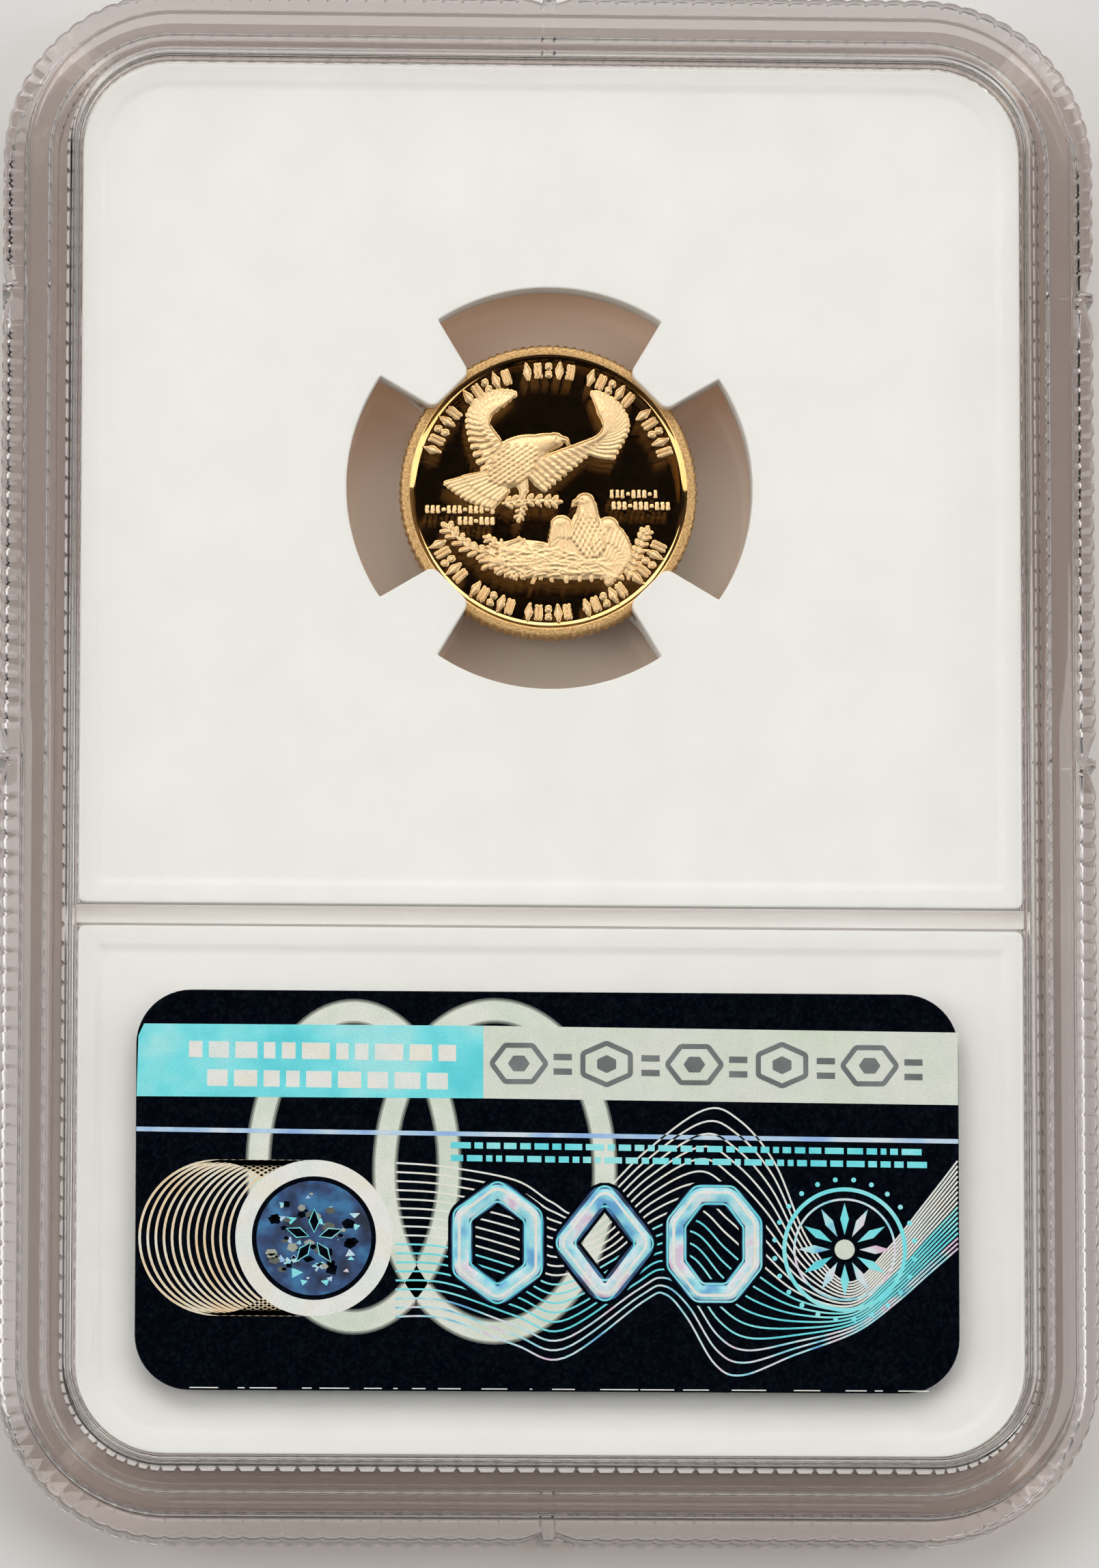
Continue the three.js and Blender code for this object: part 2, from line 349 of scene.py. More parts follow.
def make_front_shell():
    """The shell the holder lies on: window, raised ring round it, and weld tongue."""
    top = PARTING - SEAM_GAP / 2
    ribs = rib_depths()
    section = [
        (bay_loop, WINDOW_EDGE, FRONT_WINDOW_INSIDE, 0, 0),
        (bay_loop, CAVITY_EDGE, FRONT_WINDOW_INSIDE, 0.12, 0),
        (bay_loop, CAVITY_EDGE, top, 0.05, 0),
        (wall_loop, TONGUE_INSET + TONGUE_WIDTH, top, 0, 0),
        (wall_loop, TONGUE_INSET + TONGUE_WIDTH, TONGUE_TOP, 0.05, 0),
        (wall_loop, TONGUE_INSET, TONGUE_TOP, 0.05, 0),
        (wall_loop, TONGUE_INSET, top, 0, 0),
        (wall_loop, 0.0, top, 0.06, ribs),
        (wall_loop, 0.0, PLAIN_BAND + 0.1, 0, ribs),
        (wall_loop, 0.0, PLAIN_BAND, 0, rib_root_depths()),
        (wall_loop, 0.0, 0.0, 0.2, rib_root_depths()),
        (wall_loop, FRONT_RING_WIDTH, 0.0, 0.2, 0),
        (wall_loop, FRONT_RING_WIDTH, FRONT_RING_DEPTH, 0.1, 0),
        (bay_loop, WINDOW_EDGE, FRONT_RING_DEPTH, 0, 0),
    ]
    shell = loft("front_shell_clear", round_profile(section))
    add_divider(shell, FRONT_WINDOW_INSIDE - 0.1, PARTING - DIVIDER_GAP / 2)
    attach(shell, BODY)
    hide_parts("front_shell")
    return shell


# ---------------------------------------------------------------- outlines and plates

def between(a, b, t):
    """The value a share t of the way from a to b."""
    return a + (b - a) * t


def around(centre, radius, angle):
    """The point at a radius and an angle from a centre."""
    return centre[0] + radius * cos(angle), centre[1] + radius * sin(angle)


def arc(centre, radius, start, end, segments):
    """Points along an arc, both ends included."""
    return [around(centre, radius, start + (end - start) * i / segments) for i in range(segments + 1)]


def circle(centre, radius, count):
    """Points round a circle, each once."""
    return arc(centre, radius, 0, 2 * pi, count)[:-1]


def ellipse(centre, radii, count, turn=0.0):
    """Points round an ellipse, each once, from a given angle."""
    angles = [turn + 2 * pi * k / count for k in range(count)]
    return [(centre[0] + radii[0] * cos(angle), centre[1] + radii[1] * sin(angle)) for angle in angles]


def fan_shape(centre, turn, corners):
    """An outline from (radius, angle) corners, turned about a centre."""
    return [around(centre, radius, turn + angle) for radius, angle in corners]


def rounded_rectangle(left, bottom, right, top, bottom_radius, top_radius, segments=12):
    """A rounded rectangle's outline, counter-clockwise."""
    return (arc((right - bottom_radius, bottom + bottom_radius), bottom_radius, -pi / 2, 0, segments)
            + arc((right - top_radius, top - top_radius), top_radius, 0, pi / 2, segments)
            + arc((left + top_radius, top - top_radius), top_radius, pi / 2, pi, segments)
            + arc((left + bottom_radius, bottom + bottom_radius), bottom_radius, pi, 1.5 * pi, segments))


def offset_outline(points, distance):
    """Move an outline's points to its left, all by one distance or each by its own."""
    p = np.array(points, float)
    edge_in = p - np.roll(p, 1, 0)
    edge_out = np.roll(p, -1, 0) - p
    edge_in /= np.linalg.norm(edge_in, axis=1)[:, None]
    edge_out /= np.linalg.norm(edge_out, axis=1)[:, None]
    normal = np.stack([-(edge_in + edge_out)[:, 1], (edge_in + edge_out)[:, 0]], 1)
    length = np.linalg.norm(normal, axis=1)[:, None]
    normal /= length
    return p + normal * np.reshape(distance, (-1, 1)) / np.maximum(length / 2, MITRE_LIMIT)


def plate(name, outline, holes, bottom, top, edge, foot=None, wall=(), border=()):
    """A flat plate with rounded edges. foot changes a hole's outline at the bottom, and wall lists
    further (z, function) loops up its side. border lists (drop, outline) loops that step down from
    the top face's edge to its middle."""
    steps = 4
    rounding = [(edge * (1 - sin(pi / 2 * i / steps)), edge * (1 - cos(pi / 2 * i / steps)))
                for i in range(steps + 1)] if edge else [(0, 0)]
    sink = border[-1][0] if border else 0.0
    vertices, faces, rims = [], [], []
    for number, points in enumerate([outline] + list(holes)):
        points = np.array(points, float)
        base = foot(points) if foot and number else points
        loops = [(bottom + rise, offset_outline(base, inset)) for inset, rise in rounding]
        loops += [(z, move(points)) for z, move in wall] if number else []
        face = top - sink if number else top
        loops += [(face - rise, offset_outline(points, inset)) for inset, rise in reversed(rounding)]
        loops += [(top - drop, ring) for drop, ring in border] if not number else []
        start = len(vertices)
        for z, flat in loops:
            vertices += [(x, y, z) for x, y in flat]
        faces += side_faces(start, len(points), len(loops))
        rims.append((start, start + (len(loops) - 1) * len(points), len(points)))
    for end in (0, 1):
        loops = [[Vector(vertices[rim[end] + i]) for i in range(rim[2])] for rim in rims]
        ids = [rim[end] + i for rim in rims for i in range(rim[2])]
        faces += [[ids[i] for i in triangle] for triangle in tessellate_polygon(loops)]
    thing = mesh_object(name, vertices, faces)
    for face in thing.data.polygons:
        face.use_smooth = len(face.vertices) == 4
    return thing


# ---------------------------------------------------------------- white plates

coin_low, coin_high = box_mm("coin")
COIN_PLACE = (coin_low[:2] + coin_high[:2]) / 2
COIN_RADIUS = (coin_high[0] - coin_low[0]) / 2
COIN_BOTTOM, COIN_TOP = coin_low[2], coin_high[2]
COIN_MIDDLE = (COIN_BOTTOM + COIN_TOP) / 2
COIN_CENTRE = (*COIN_PLACE, COIN_MIDDLE)
OPENING_RADIUS = 11.2
PRONG_ROOT_ANGLE = radians(11.6)
PRONG_TIP_ANGLE = radians(10.4)
PRONG_TIP_RADIUS = 7.76
PRONG_CORNER = 0.55
PRONG_ROOT_CORNER = 0.08
PRONG_GROOVE_RADIUS = 8.6
PRONG_GROOVE_HALF = 0.7
GROOVE_LIP = 0.02
PLATE_EDGE = 0.12
# Rows of (distance in from a plate's edge, drop).
BORDER_SECTION = ((0.25, 0.0), (0.95, 0.0), (1.1, 0.035), (1.3, 0.125), (1.45, 0.16), (1.6, 0.16))
OPENING_UNDERCUT = 0.6


def pronged_opening():
    """The coin opening's outline, clockwise, so that an inset grows the hole."""
    points = []
    for k in range(4):
        prong = pi / 4 + k * pi / 2
        before, *roots, after = [around(COIN_PLACE, OPENING_RADIUS, prong + share * PRONG_ROOT_ANGLE)
                                 for share in (-1.6, -1, 1, 1.6)]
        left, middle, right = arc(COIN_PLACE, PRONG_TIP_RADIUS, prong - PRONG_TIP_ANGLE,
                                  prong + PRONG_TIP_ANGLE, 2)
        points += round_corner(before, roots[0], left, PRONG_ROOT_CORNER, 3)
        points += round_corner(roots[0], left, middle, PRONG_CORNER)
        points += round_corner(middle, right, roots[1], PRONG_CORNER)
        points += round_corner(right, roots[1], after, PRONG_ROOT_CORNER, 3)
        points += arc(COIN_PLACE, OPENING_RADIUS, prong + 1.1 * PRONG_ROOT_ANGLE,
                      prong + pi / 2 - 1.1 * PRONG_ROOT_ANGLE, 48)
    return points[::-1]


def groove_wall(points):
    """The opening's wall where the prong tips are cut back to let the coin's edge in."""
    away = points - COIN_PLACE
    radius = np.linalg.norm(away, axis=1)
    return COIN_PLACE + away * (np.maximum(radius, PRONG_GROOVE_RADIUS) / radius)[:, None]


def undercut_wall(points):
    """The opening lower down: wider than at the top, except at the prong tips."""
    radius = np.linalg.norm(points - COIN_PLACE, axis=1)
    share = np.clip((radius - PRONG_GROOVE_RADIUS) / (OPENING_RADIUS - PRONG_GROOVE_RADIUS), 0, 1)
    return offset_outline(points, OPENING_UNDERCUT * share)


def border_step(left, bottom, right, top, bottom_radius, top_radius):
    """The shallow step that runs round a white plate, just inside its edge."""
    return [(drop, rounded_rectangle(left + inset, bottom + inset, right - inset, top - inset,
                                     max(bottom_radius - inset, 0.3), max(top_radius - inset, 0.3)))
            for inset, drop in BORDER_SECTION]


def make_coin_plate():
    """The white plate with the opening whose four prongs hold the coin."""
    edges = (BAY_LEFT, DIVIDER_TOP, BAY_RIGHT, BAY_TOP, 0.5, BAY_RADIUS)
    outline = rounded_rectangle(*edges)
    low, high = COIN_MIDDLE - PRONG_GROOVE_HALF, COIN_MIDDLE + PRONG_GROOVE_HALF
    wall = [(low, undercut_wall), (low + GROOVE_LIP, lambda points: groove_wall(undercut_wall(points))),
            (COIN_MIDDLE, groove_wall), (high - GROOVE_LIP, groove_wall), (high, lambda points: points)]
    piece = plate("coin_plate_white", outline, [pronged_opening()], plate_low[2], plate_high[2],
                  PLATE_EDGE, undercut_wall, wall, border_step(*edges))
    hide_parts("coin_plate")
    return piece


def make_label_backing():
    """The white plate behind the label and under the foil sticker."""
    edges = (BAY_LEFT, BAY_BOTTOM, BAY_RIGHT, DIVIDER_BOTTOM, BAY_RADIUS, 0.5)
    piece = plate("label_backing_white", rounded_rectangle(*edges), [], backing_low[2], backing_high[2],
                  PLATE_EDGE, border=border_step(*edges))
    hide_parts("label_backing")
    return piece


# ---------------------------------------------------------------- coin

COIN_REEDS = 108
REED_DEPTH = 0.14
FIELD_RADIUS = 7.3
RIM_RADIUS = 7.7
FIELD_DEPTH = 0.13
# Rows of (radius, drop from the face, share of the reeds' depth) from field to rim, over the rim,
# and from rim to field.
BACK_SLOPE = ((7.43, 0.115, 0), (7.53, 0.08, 0), (7.61, 0.035, 0), (7.67, 0.0, 0))
RIM_SECTION = ((7.75, 0.0, 0), (8.0, 0.0, 0), (8.1, 0.02, 0), (8.17, 0.08, 0.4), (COIN_RADIUS, 0.16, 1))
FRONT_SLOPE = ((7.63, 0.05, 0), (7.6, FIELD_DEPTH, 0))
RELIEF_CELLS = 270
RELIEF_CAP = 0.32
RELIEF_SCALE = 0.7
FRONT_RELIEF_CELLS = 150
FRONT_RELIEF_RADIUS = 7.58
FRONT_RELIEF_CAP = 0.24
FRONT_RELIEF_SCALE = 0.4
FRONT_RELIEF_LAP = 0.02
STRUCK_RISE = 0.004
MARK_HEIGHT = 0.15
MIRROR, FROST, RIM = range(3)


def disc_grid(cells, radius):
    """Points of a square grid bent into a disc, and the order of those on its edge."""
    side = np.linspace(-1, 1, cells + 1)
    a, b = np.meshgrid(side, side)
    wide = np.abs(a) > np.abs(b)
    r = np.where(wide, a, b)
    ratio = np.where(wide, b, a) / np.where(r == 0, 1, r)
    angle = np.where(wide, pi / 4 * ratio, pi / 2 - pi / 4 * ratio)
    x, y = radius * r * np.cos(angle), radius * r * np.sin(angle)
    ids = np.arange((cells + 1) ** 2).reshape(cells + 1, cells + 1)
    edge = np.concatenate([ids[0, :-1], ids[:-1, -1], ids[-1, :0:-1], ids[:0:-1, 0]])
    quads = np.stack([ids[:-1, :-1], ids[:-1, 1:], ids[1:, 1:], ids[1:, :-1]], -1).reshape(-1, 4)
    return x.ravel(), y.ravel(), quads, edge


def skirt(edge, start):
    """Quads from a grid's edge to a loop of as many points that begins at start."""
    count = len(edge)
    return [[int(edge[i]), start + i, start + (i + 1) % count, int(edge[(i + 1) % count])]
            for i in range(count)]


class Relief:
    """A height field over a disc that takes tapered strokes and domes."""

    def __init__(self, x, y):
        self.x, self.y = x, y
        self.height = np.zeros(len(x))

    def near(self, xs, ys, reach):
        """The points within reach of a box."""
        inside_x = (self.x > min(xs) - reach) & (self.x < max(xs) + reach)
        inside_y = (self.y > min(ys) - reach) & (self.y < max(ys) + reach)
        return np.nonzero(inside_x & inside_y)[0]

    def raise_to(self, ids, value):
        self.height[ids] = np.maximum(self.height[ids], value)

    def stroke(self, points, widths, height, base=0.0):
        """A rounded ridge along a polyline whose half-width changes evenly along it."""
        steps = len(points) - 1
        for k in range(steps):
            (x0, y0), (x1, y1) = points[k], points[k + 1]
            w0, w1 = (widths[0] + (widths[1] - widths[0]) * j / steps for j in (k, k + 1))
            ids = self.near((x0, x1), (y0, y1), max(w0, w1))
            px, py = self.x[ids] - x0, self.y[ids] - y0
            dx, dy = x1 - x0, y1 - y0
            t = np.clip((px * dx + py * dy) / max(dx * dx + dy * dy, 1e-9), 0, 1)
            gap = np.hypot(px - t * dx, py - t * dy) / (w0 + (w1 - w0) * t)
            inside = gap < 1
            self.raise_to(ids[inside], base + height * np.sqrt(1 - gap[inside] ** 2))

    def dome(self, centre, radii, turn, height, power=0.5):
        """A rounded ellipse."""
        ids = self.near(centre[:1], centre[1:], max(radii))
        px, py = self.x[ids] - centre[0], self.y[ids] - centre[1]
        u = (px * cos(turn) + py * sin(turn)) / radii[0]
        v = (py * cos(turn) - px * sin(turn)) / radii[1]
        gap = u * u + v * v
        inside = gap < 1
        self.raise_to(ids[inside], height * (1 - gap[inside]) ** power)

    def feather(self, root, angle, length, width, height, base, bend=0.0):
        """A feather: a ridge that starts narrow, bends and ends in a rounded tip."""
        points = [root]
        steps = 4
        for k in range(steps):
            points.append(around(points[-1], length / steps, angle + bend * (k + 0.5) / steps))
        self.stroke(points, (width * 0.75, width), height, base)

    def fan(self, bone, angles, count, lengths, width, height, base, bend=0.0):
        """A row of feathers along a bone, turning and changing length from one end to the other."""
        for k in range(count):
            t = k / (count - 1)
            self.feather(along(bone, t), between(*angles, t), between(*lengths, t),
                         width, height, base, bend)

    def scales(self, centre, radii, turn, heading, base):
        """Short overlapping feathers over an ellipse."""
        pitch = 0.3
        rows, columns = int(radii[0] / pitch) + 1, int(radii[1] / pitch) + 1
        for row in range(-rows, rows + 1):
            for column in range(-columns, columns + 1):
                u, v = pitch * (row + 0.5 * (column % 2)), pitch * 0.8 * column
                if (u / radii[0]) ** 2 + (v / radii[1]) ** 2 < 0.9:
                    root = (centre[0] + u * cos(turn) - v * sin(turn),
                            centre[1] + u * sin(turn) + v * cos(turn))
                    self.feather(root, heading, 0.1, 0.13, 0.08, base)

    def hollow(self, centre, reach, depth):
        """A small square hollow, such as an eye."""
        self.height[self.near(centre[:1], centre[1:], reach)] -= depth

    def leaf(self, root, angle, length, height):
        """A slim oval leaf."""
        self.dome(around(root, length / 2, angle), (length / 2, length * 0.2), angle, height, 0.6)

    def sprig(self, stem, leaves, length, height):
        """A stem with leaves in pairs and one at its end."""
        self.stroke(stem, (0.045, 0.03), height * 0.7)
        for k in range(leaves):
            t = (k + 0.6) / leaves
            here, ahead = along(stem, t), along(stem, min(1.0, t + 0.05))
            heading = atan2(ahead[1] - here[1], ahead[0] - here[0]) if t < 0.95 else heading
            for side in (-1, 1):
                self.leaf(here, heading + side * 0.85, length, height)
        self.leaf(stem[-1], heading, length, height)


def along(points, t):
    """The point a share t of the way along a smooth curve through some points."""
    spans = len(points) - 1
    k = min(int(t * spans), spans - 1)
    f = t * spans - k
    p = [np.array(points[min(max(k + j, 0), spans)], float) for j in (-1, 0, 1, 2)]
    curve = (2 * p[1] + (p[2] - p[0]) * f + (2 * p[0] - 5 * p[1] + 4 * p[2] - p[3]) * f ** 2
             + (3 * p[1] - p[0] - 3 * p[2] + p[3]) * f ** 3) / 2
    return float(curve[0]), float(curve[1])


def soaring_bird(relief):
    """A bird in flight with both wings raised, seen from the side."""
    left_bone = [(-2.3, 1.9), (-2.8, 2.9), (-3.35, 3.7), (-3.2, 4.35), (-2.6, 4.8)]
    right_bone = [(-1.3, 1.3), (0.1, 2.0), (1.7, 2.6), (2.8, 3.1), (3.1, 3.8), (2.8, 4.5)]
    wing = (left_bone, (radians(248), radians(52)))
    for row in ((23, (1.6, 0.95), 0.13, 0.09, 0.02, -0.35), (20, (1.15, 0.6), 0.12, 0.07, 0.08, -0.3),
                (19, (0.72, 0.34), 0.10, 0.06, 0.13, -0.2), (17, (0.36, 0.2), 0.09, 0.05, 0.17)):
        relief.fan(*wing, *row)
    wing = (right_bone, (radians(-62), radians(92)))
    relief.fan(*wing, 32, (1.6, 0.9), 0.13, 0.09, 0.02, 0.5)
    relief.fan(right_bone[2:], (radians(-42), radians(86)), 19, (2.0, 1.1), 0.13, 0.09, 0.01, 0.8)
    for row in ((30, (1.15, 0.7), 0.12, 0.07, 0.08, 0.45), (28, (0.75, 0.45), 0.11, 0.06, 0.13, 0.35),
                (26, (0.36, 0.24), 0.10, 0.05, 0.17)):
        relief.fan(*wing, *row)
    tail = [(-3.5, 1.0), (-3.0, 0.45), (-2.3, 0.0)]
    relief.fan(tail, (radians(196), radians(226)), 11, (2.2, 1.2), 0.14, 0.08, 0.04)
    relief.fan(tail, (radians(194), radians(224)), 9, (1.2, 0.7), 0.13, 0.06, 0.10)
    relief.dome((-1.5, 2.25), (1.6, 0.82), radians(14), 0.24)
    relief.dome((-2.1, 1.25), (1.35, 0.95), radians(38), 0.2)
    relief.stroke([(-0.7, 2.55), (-0.1, 2.75), (0.3, 2.85)], (0.58, 0.4), 0.24)
    relief.dome((0.33, 2.88), (0.47, 0.38), 0.0, 0.27)
    relief.stroke([(0.7, 2.93), (1.0, 2.87), (1.13, 2.62)], (0.17, 0.04), 0.22)
    relief.scales((-1.9, 1.55), (1.6, 1.05), radians(35), radians(215), 0.2)
    relief.hollow((0.42, 2.93), 0.07, 0.1)
    relief.stroke([(-1.5, 0.5), (-1.35, 0.1), (-1.5, -0.3)], (0.34, 0.1), 0.16)
    for heading in (190, 235, 280):
        relief.feather((-1.5, -0.3), radians(heading), 0.32, 0.05, 0.1, 0.0)


def perched_bird(relief):
    """A bird sitting with half-open wings, its head turned to the side."""
    left = [(0.25, -1.95), (0.55, -1.6), (1.1, -1.65)]
    right = [(3.1, -1.75), (3.9, -2.1), (4.4, -2.9), (4.5, -3.6)]
    relief.fan(left, (radians(-97), radians(-80)), 8, (1.7, 1.9), 0.12, 0.08, 0.06, 0.15)
    relief.fan(left, (radians(-97), radians(-80)), 7, (0.85, 0.95), 0.12, 0.06, 0.12)
    relief.dome((0.65, -1.75), (0.5, 0.36), radians(10), 0.2)
    relief.fan(right, (radians(-106), radians(-122)), 14, (3.1, 1.9), 0.12, 0.08, 0.05, -0.2)
    relief.fan(right, (radians(-104), radians(-120)), 12, (1.9, 1.2), 0.11, 0.06, 0.10, -0.1)
    relief.fan(right, (radians(-104), radians(-118)), 11, (1.0, 0.6), 0.11, 0.06, 0.14)
    relief.dome((3.35, -1.85), (0.5, 0.42), radians(-25), 0.22)
    relief.dome((2.15, -2.5), (0.98, 1.5), radians(6), 0.2)
    relief.scales((2.15, -2.3), (0.95, 1.35), radians(6), radians(-90), 0.17)
    relief.stroke([(2.15, -1.3), (2.15, -0.9), (2.05, -0.55)], (0.6, 0.4), 0.24)
    relief.dome((2.02, -0.5), (0.46, 0.4), 0.0, 0.27)
    relief.stroke([(1.68, -0.5), (1.45, -0.58), (1.38, -0.8)], (0.14, 0.04), 0.2)
    relief.hollow((1.88, -0.45), 0.06, 0.1)
    relief.dome((2.75, -3.0), (0.5, 0.8), radians(-10), 0.26)
    relief.scales((2.75, -3.0), (0.45, 0.7), radians(-10), radians(-100), 0.24)


def nest(relief, dice):
    """A nest of crossed twigs with leafy branches at both sides."""
    relief.dome((0.5, -4.0), (3.3, 0.85), radians(-5), 0.1)
    relief.dome((-0.9, -3.35), (1.9, 0.55), radians(-6), 0.12)
    for _ in range(230):
        x, y = dice.uniform(-3.2, 3.6), dice.uniform(-0.75, 1.0)
        if (x / 3.5) ** 2 + (y / 0.8) ** 2 > 1 or (y > 0.3 and x > 0.6):
            continue
        heading = dice.normal(0.0, 0.3) + (pi if dice.random() < 0.5 else 0)
        length = dice.uniform(0.5, 1.3)
        root = (0.3 + x, -3.9 + y - 0.08 * x)
        height, bend = dice.uniform(0.05, 0.1), dice.uniform(-0.6, 0.6)
        relief.feather(root, heading, length, 0.06, height, 0.09, bend)
    for k in range(26):
        root = (-2.2 + 0.22 * k, -4.5 + dice.uniform(-0.1, 0.2))
        relief.feather(root, radians(dice.uniform(225, 315)), dice.uniform(0.3, 0.6), 0.05, 0.09, 0.02)
    relief.sprig([(-1.4, -4.2), (-2.9, -3.7), (-4.4, -3.2), (-5.5, -2.2)], 10, 0.56, 0.15)
    relief.sprig([(-0.6, -4.4), (-1.6, -4.6), (-2.6, -4.4)], 5, 0.42, 0.14)
    relief.sprig([(-2.3, -3.1), (-2.9, -2.9), (-3.3, -2.7)], 3, 0.34, 0.12)
    relief.sprig([(4.4, -4.8), (4.85, -3.6), (5.35, -2.3)], 8, 0.46, 0.15)
    relief.sprig([(-2.5, -0.7), (-1.2, -0.5), (0.3, -0.55)], 7, 0.44, 0.14)
    relief.sprig([(-1.3, -0.6), (-1.5, -1.0), (-1.6, -1.4)], 3, 0.34, 0.12)


def border_ornament(relief, radius, start, end, groups):
    """Groups of lozenges, bars and beads along an arc, in place of an inscription."""
    places = sum(groups) + len(groups) - 1
    place = 0
    for size in groups:
        for k in range(size):
            angle = start + (end - start) * (place + 0.5) / places

            def at(outwards, across):
                return ((radius + outwards) * cos(angle) - across * sin(angle),
                        (radius + outwards) * sin(angle) + across * cos(angle))

            if k % 3 == 0:
                for tip in (-0.42, 0.42):
                    relief.stroke([at(tip, 0), at(0, 0)], (0.04, 0.2), MARK_HEIGHT)
            elif k % 3 == 1:
                for across in (0.1, -0.12):
                    relief.stroke([at(-0.32, across), at(0.32, across)], (0.075, 0.075), MARK_HEIGHT)
            else:
                for outwards in (0.22, -0.22):
                    relief.dome(at(outwards, 0), (0.17, 0.17), 0.0, MARK_HEIGHT)
            place += 1
        place += 1


def bead_row(relief, start, count, pitch):
    """A short row of beads and bars, in place of small print."""
    for k in range(count):
        x = start[0] + pitch * k
        if k % 4 == 3:
            relief.dome((x, start[1]), (0.07, 0.07), 0.0, 0.08)
        else:
            relief.stroke([(x, start[1] - 0.14), (x, start[1] + 0.14)], (0.06, 0.06), 0.08)


def reverse_heights(x, y):
    """The face that shows through the back window."""
    dice = np.random.default_rng(7)
    relief = Relief(x, y)
    soaring_bird(relief)
    perched_bird(relief)
    nest(relief, dice)
    for start, end in ((163, 17), (204, 336)):
        border_ornament(relief, 6.8, radians(start), radians(end), (5,) * 5)
    for start, count in (((-6.7, -1.05), 13), ((-4.9, -1.68), 7), ((3.5, -0.1), 9), ((3.6, -0.75), 11)):
        bead_row(relief, start, count, 0.3)
    return relief.height


def obverse_heights(x, y):
    """The face towards the front window: a star in a leafy ring."""
    relief = Relief(x, y)
    for k in range(8):
        tip = around((0, 0), 3.6 if k % 2 == 0 else 2.3, pi / 4 * k + pi / 2)
        relief.stroke([(0, 0), tip], (0.85, 0.03), 0.22)
    for k in range(36):
        angle = 2 * pi * k / 36
        for side in (-1, 1):
            relief.leaf(around((0, 0), 4.9, angle), angle + pi / 2 + side * 0.5, 0.95, 0.14)
    border_ornament(relief, 6.75, 0, 2 * pi, (11,) * 5)
    return relief.height


def reed_loop(radius, z, depth):
    """A loop of the coin's edge, in step with the edge of the relief grid."""
    count = 4 * RELIEF_CELLS
    angle = np.arange(count) * 2 * pi / count - 0.75 * pi
    part = (np.arange(count) / (count / COIN_REEDS)) % 1
    r = radius - depth * np.abs(2 * part - 1) ** 1.5
    return np.stack([r * np.cos(angle), r * np.sin(angle), np.full(count, z)], 1)


def make_coin():
    """The struck coin: relief on the back face, rims, reeded edge and a recessed front field."""
    x, y, quads, edge = disc_grid(RELIEF_CELLS, FIELD_RADIUS)
    heights = reverse_heights(x, y)
    half = (COIN_TOP - COIN_BOTTOM) / 2
    top = np.stack([x, y, half - FIELD_DEPTH + np.minimum(heights, RELIEF_CAP) * RELIEF_SCALE], 1)
    section = [(r, half - drop, share) for r, drop, share in BACK_SLOPE + RIM_SECTION]
    section += [(r, drop - half, share) for r, drop, share in RIM_SECTION[::-1] + FRONT_SLOPE]
    loops = [reed_loop(r, z, REED_DEPTH * share) for r, z, share in section]
    start, count = len(x), len(edge)
    last = start + (len(loops) - 1) * count
    vertices = np.concatenate([top] + loops) + COIN_CENTRE
    faces = quads.tolist() + skirt(edge, start) + side_faces(start, count, len(loops))
    faces.append(list(range(last, last + count)))
    coin = mesh_object("coin_struck", vertices, faces)
    finish_gold(coin, half - FIELD_DEPTH)
    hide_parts("coin")
    return coin


def finish_gold(piece, field):
    """Mirror, frosted or rim gold for each face. field is the field's height above the coin's middle."""
    centres = face_centres(piece) - COIN_CENTRE
    radius = np.hypot(centres[:, 0], centres[:, 1])
    struck = (np.abs(centres[:, 2]) > field + STRUCK_RISE) & (radius < FIELD_RADIUS)
    finishes = np.where(radius > RIM_RADIUS, RIM, np.where(struck, FROST, MIRROR))
    finish_faces(piece, finishes)


def make_obverse():
    """The front face's relief, a thin disc that sits in the coin's front recess."""
    x, y, quads, edge = disc_grid(FRONT_RELIEF_CELLS, FRONT_RELIEF_RADIUS)
    field = COIN_BOTTOM + FIELD_DEPTH
    heights = np.minimum(obverse_heights(x, y), FRONT_RELIEF_CAP) * FRONT_RELIEF_SCALE
    low = np.stack([x, y, field - FRONT_RELIEF_LAP - heights], 1)
    high = np.stack([x[edge], y[edge], np.full(len(edge), field)], 1)
    vertices = np.concatenate([low, high]) + (*COIN_PLACE, 0)
    start = len(x)
    faces = quads.tolist() + skirt(edge, start) + [list(range(start, start + len(edge)))]
    piece = mesh_object("coin_front_relief", vertices, faces)
    finish_gold(piece, COIN_MIDDLE - field + FRONT_RELIEF_LAP)
    return piece


# ---------------------------------------------------------------- foil sticker

sticker_low, sticker_high = box_mm("hologram_sticker")
STICKER_PLACE = (sticker_low[:2] + sticker_high[:2]) / 2
STICKER_HALF_X, STICKER_HALF_Y = (sticker_high[:2] - sticker_low[:2]) / 2
STICKER_TOP = sticker_high[2]
STICKER_RADIUS = 3.0
FOIL_STEP = 0.006

FOILS = ("black", "cyan", "sage", "cream", "warm", "grey", "shimmer", "blue", "deep",
         "haze_dim", "haze_mid", "haze_bright")
(BLACK, CYAN, SAGE, CREAM, WARM, GREY, SHIMMER, BLUE, DEEP,
 HAZE_DIM, HAZE_MID, HAZE_BRIGHT) = range(len(FOILS))


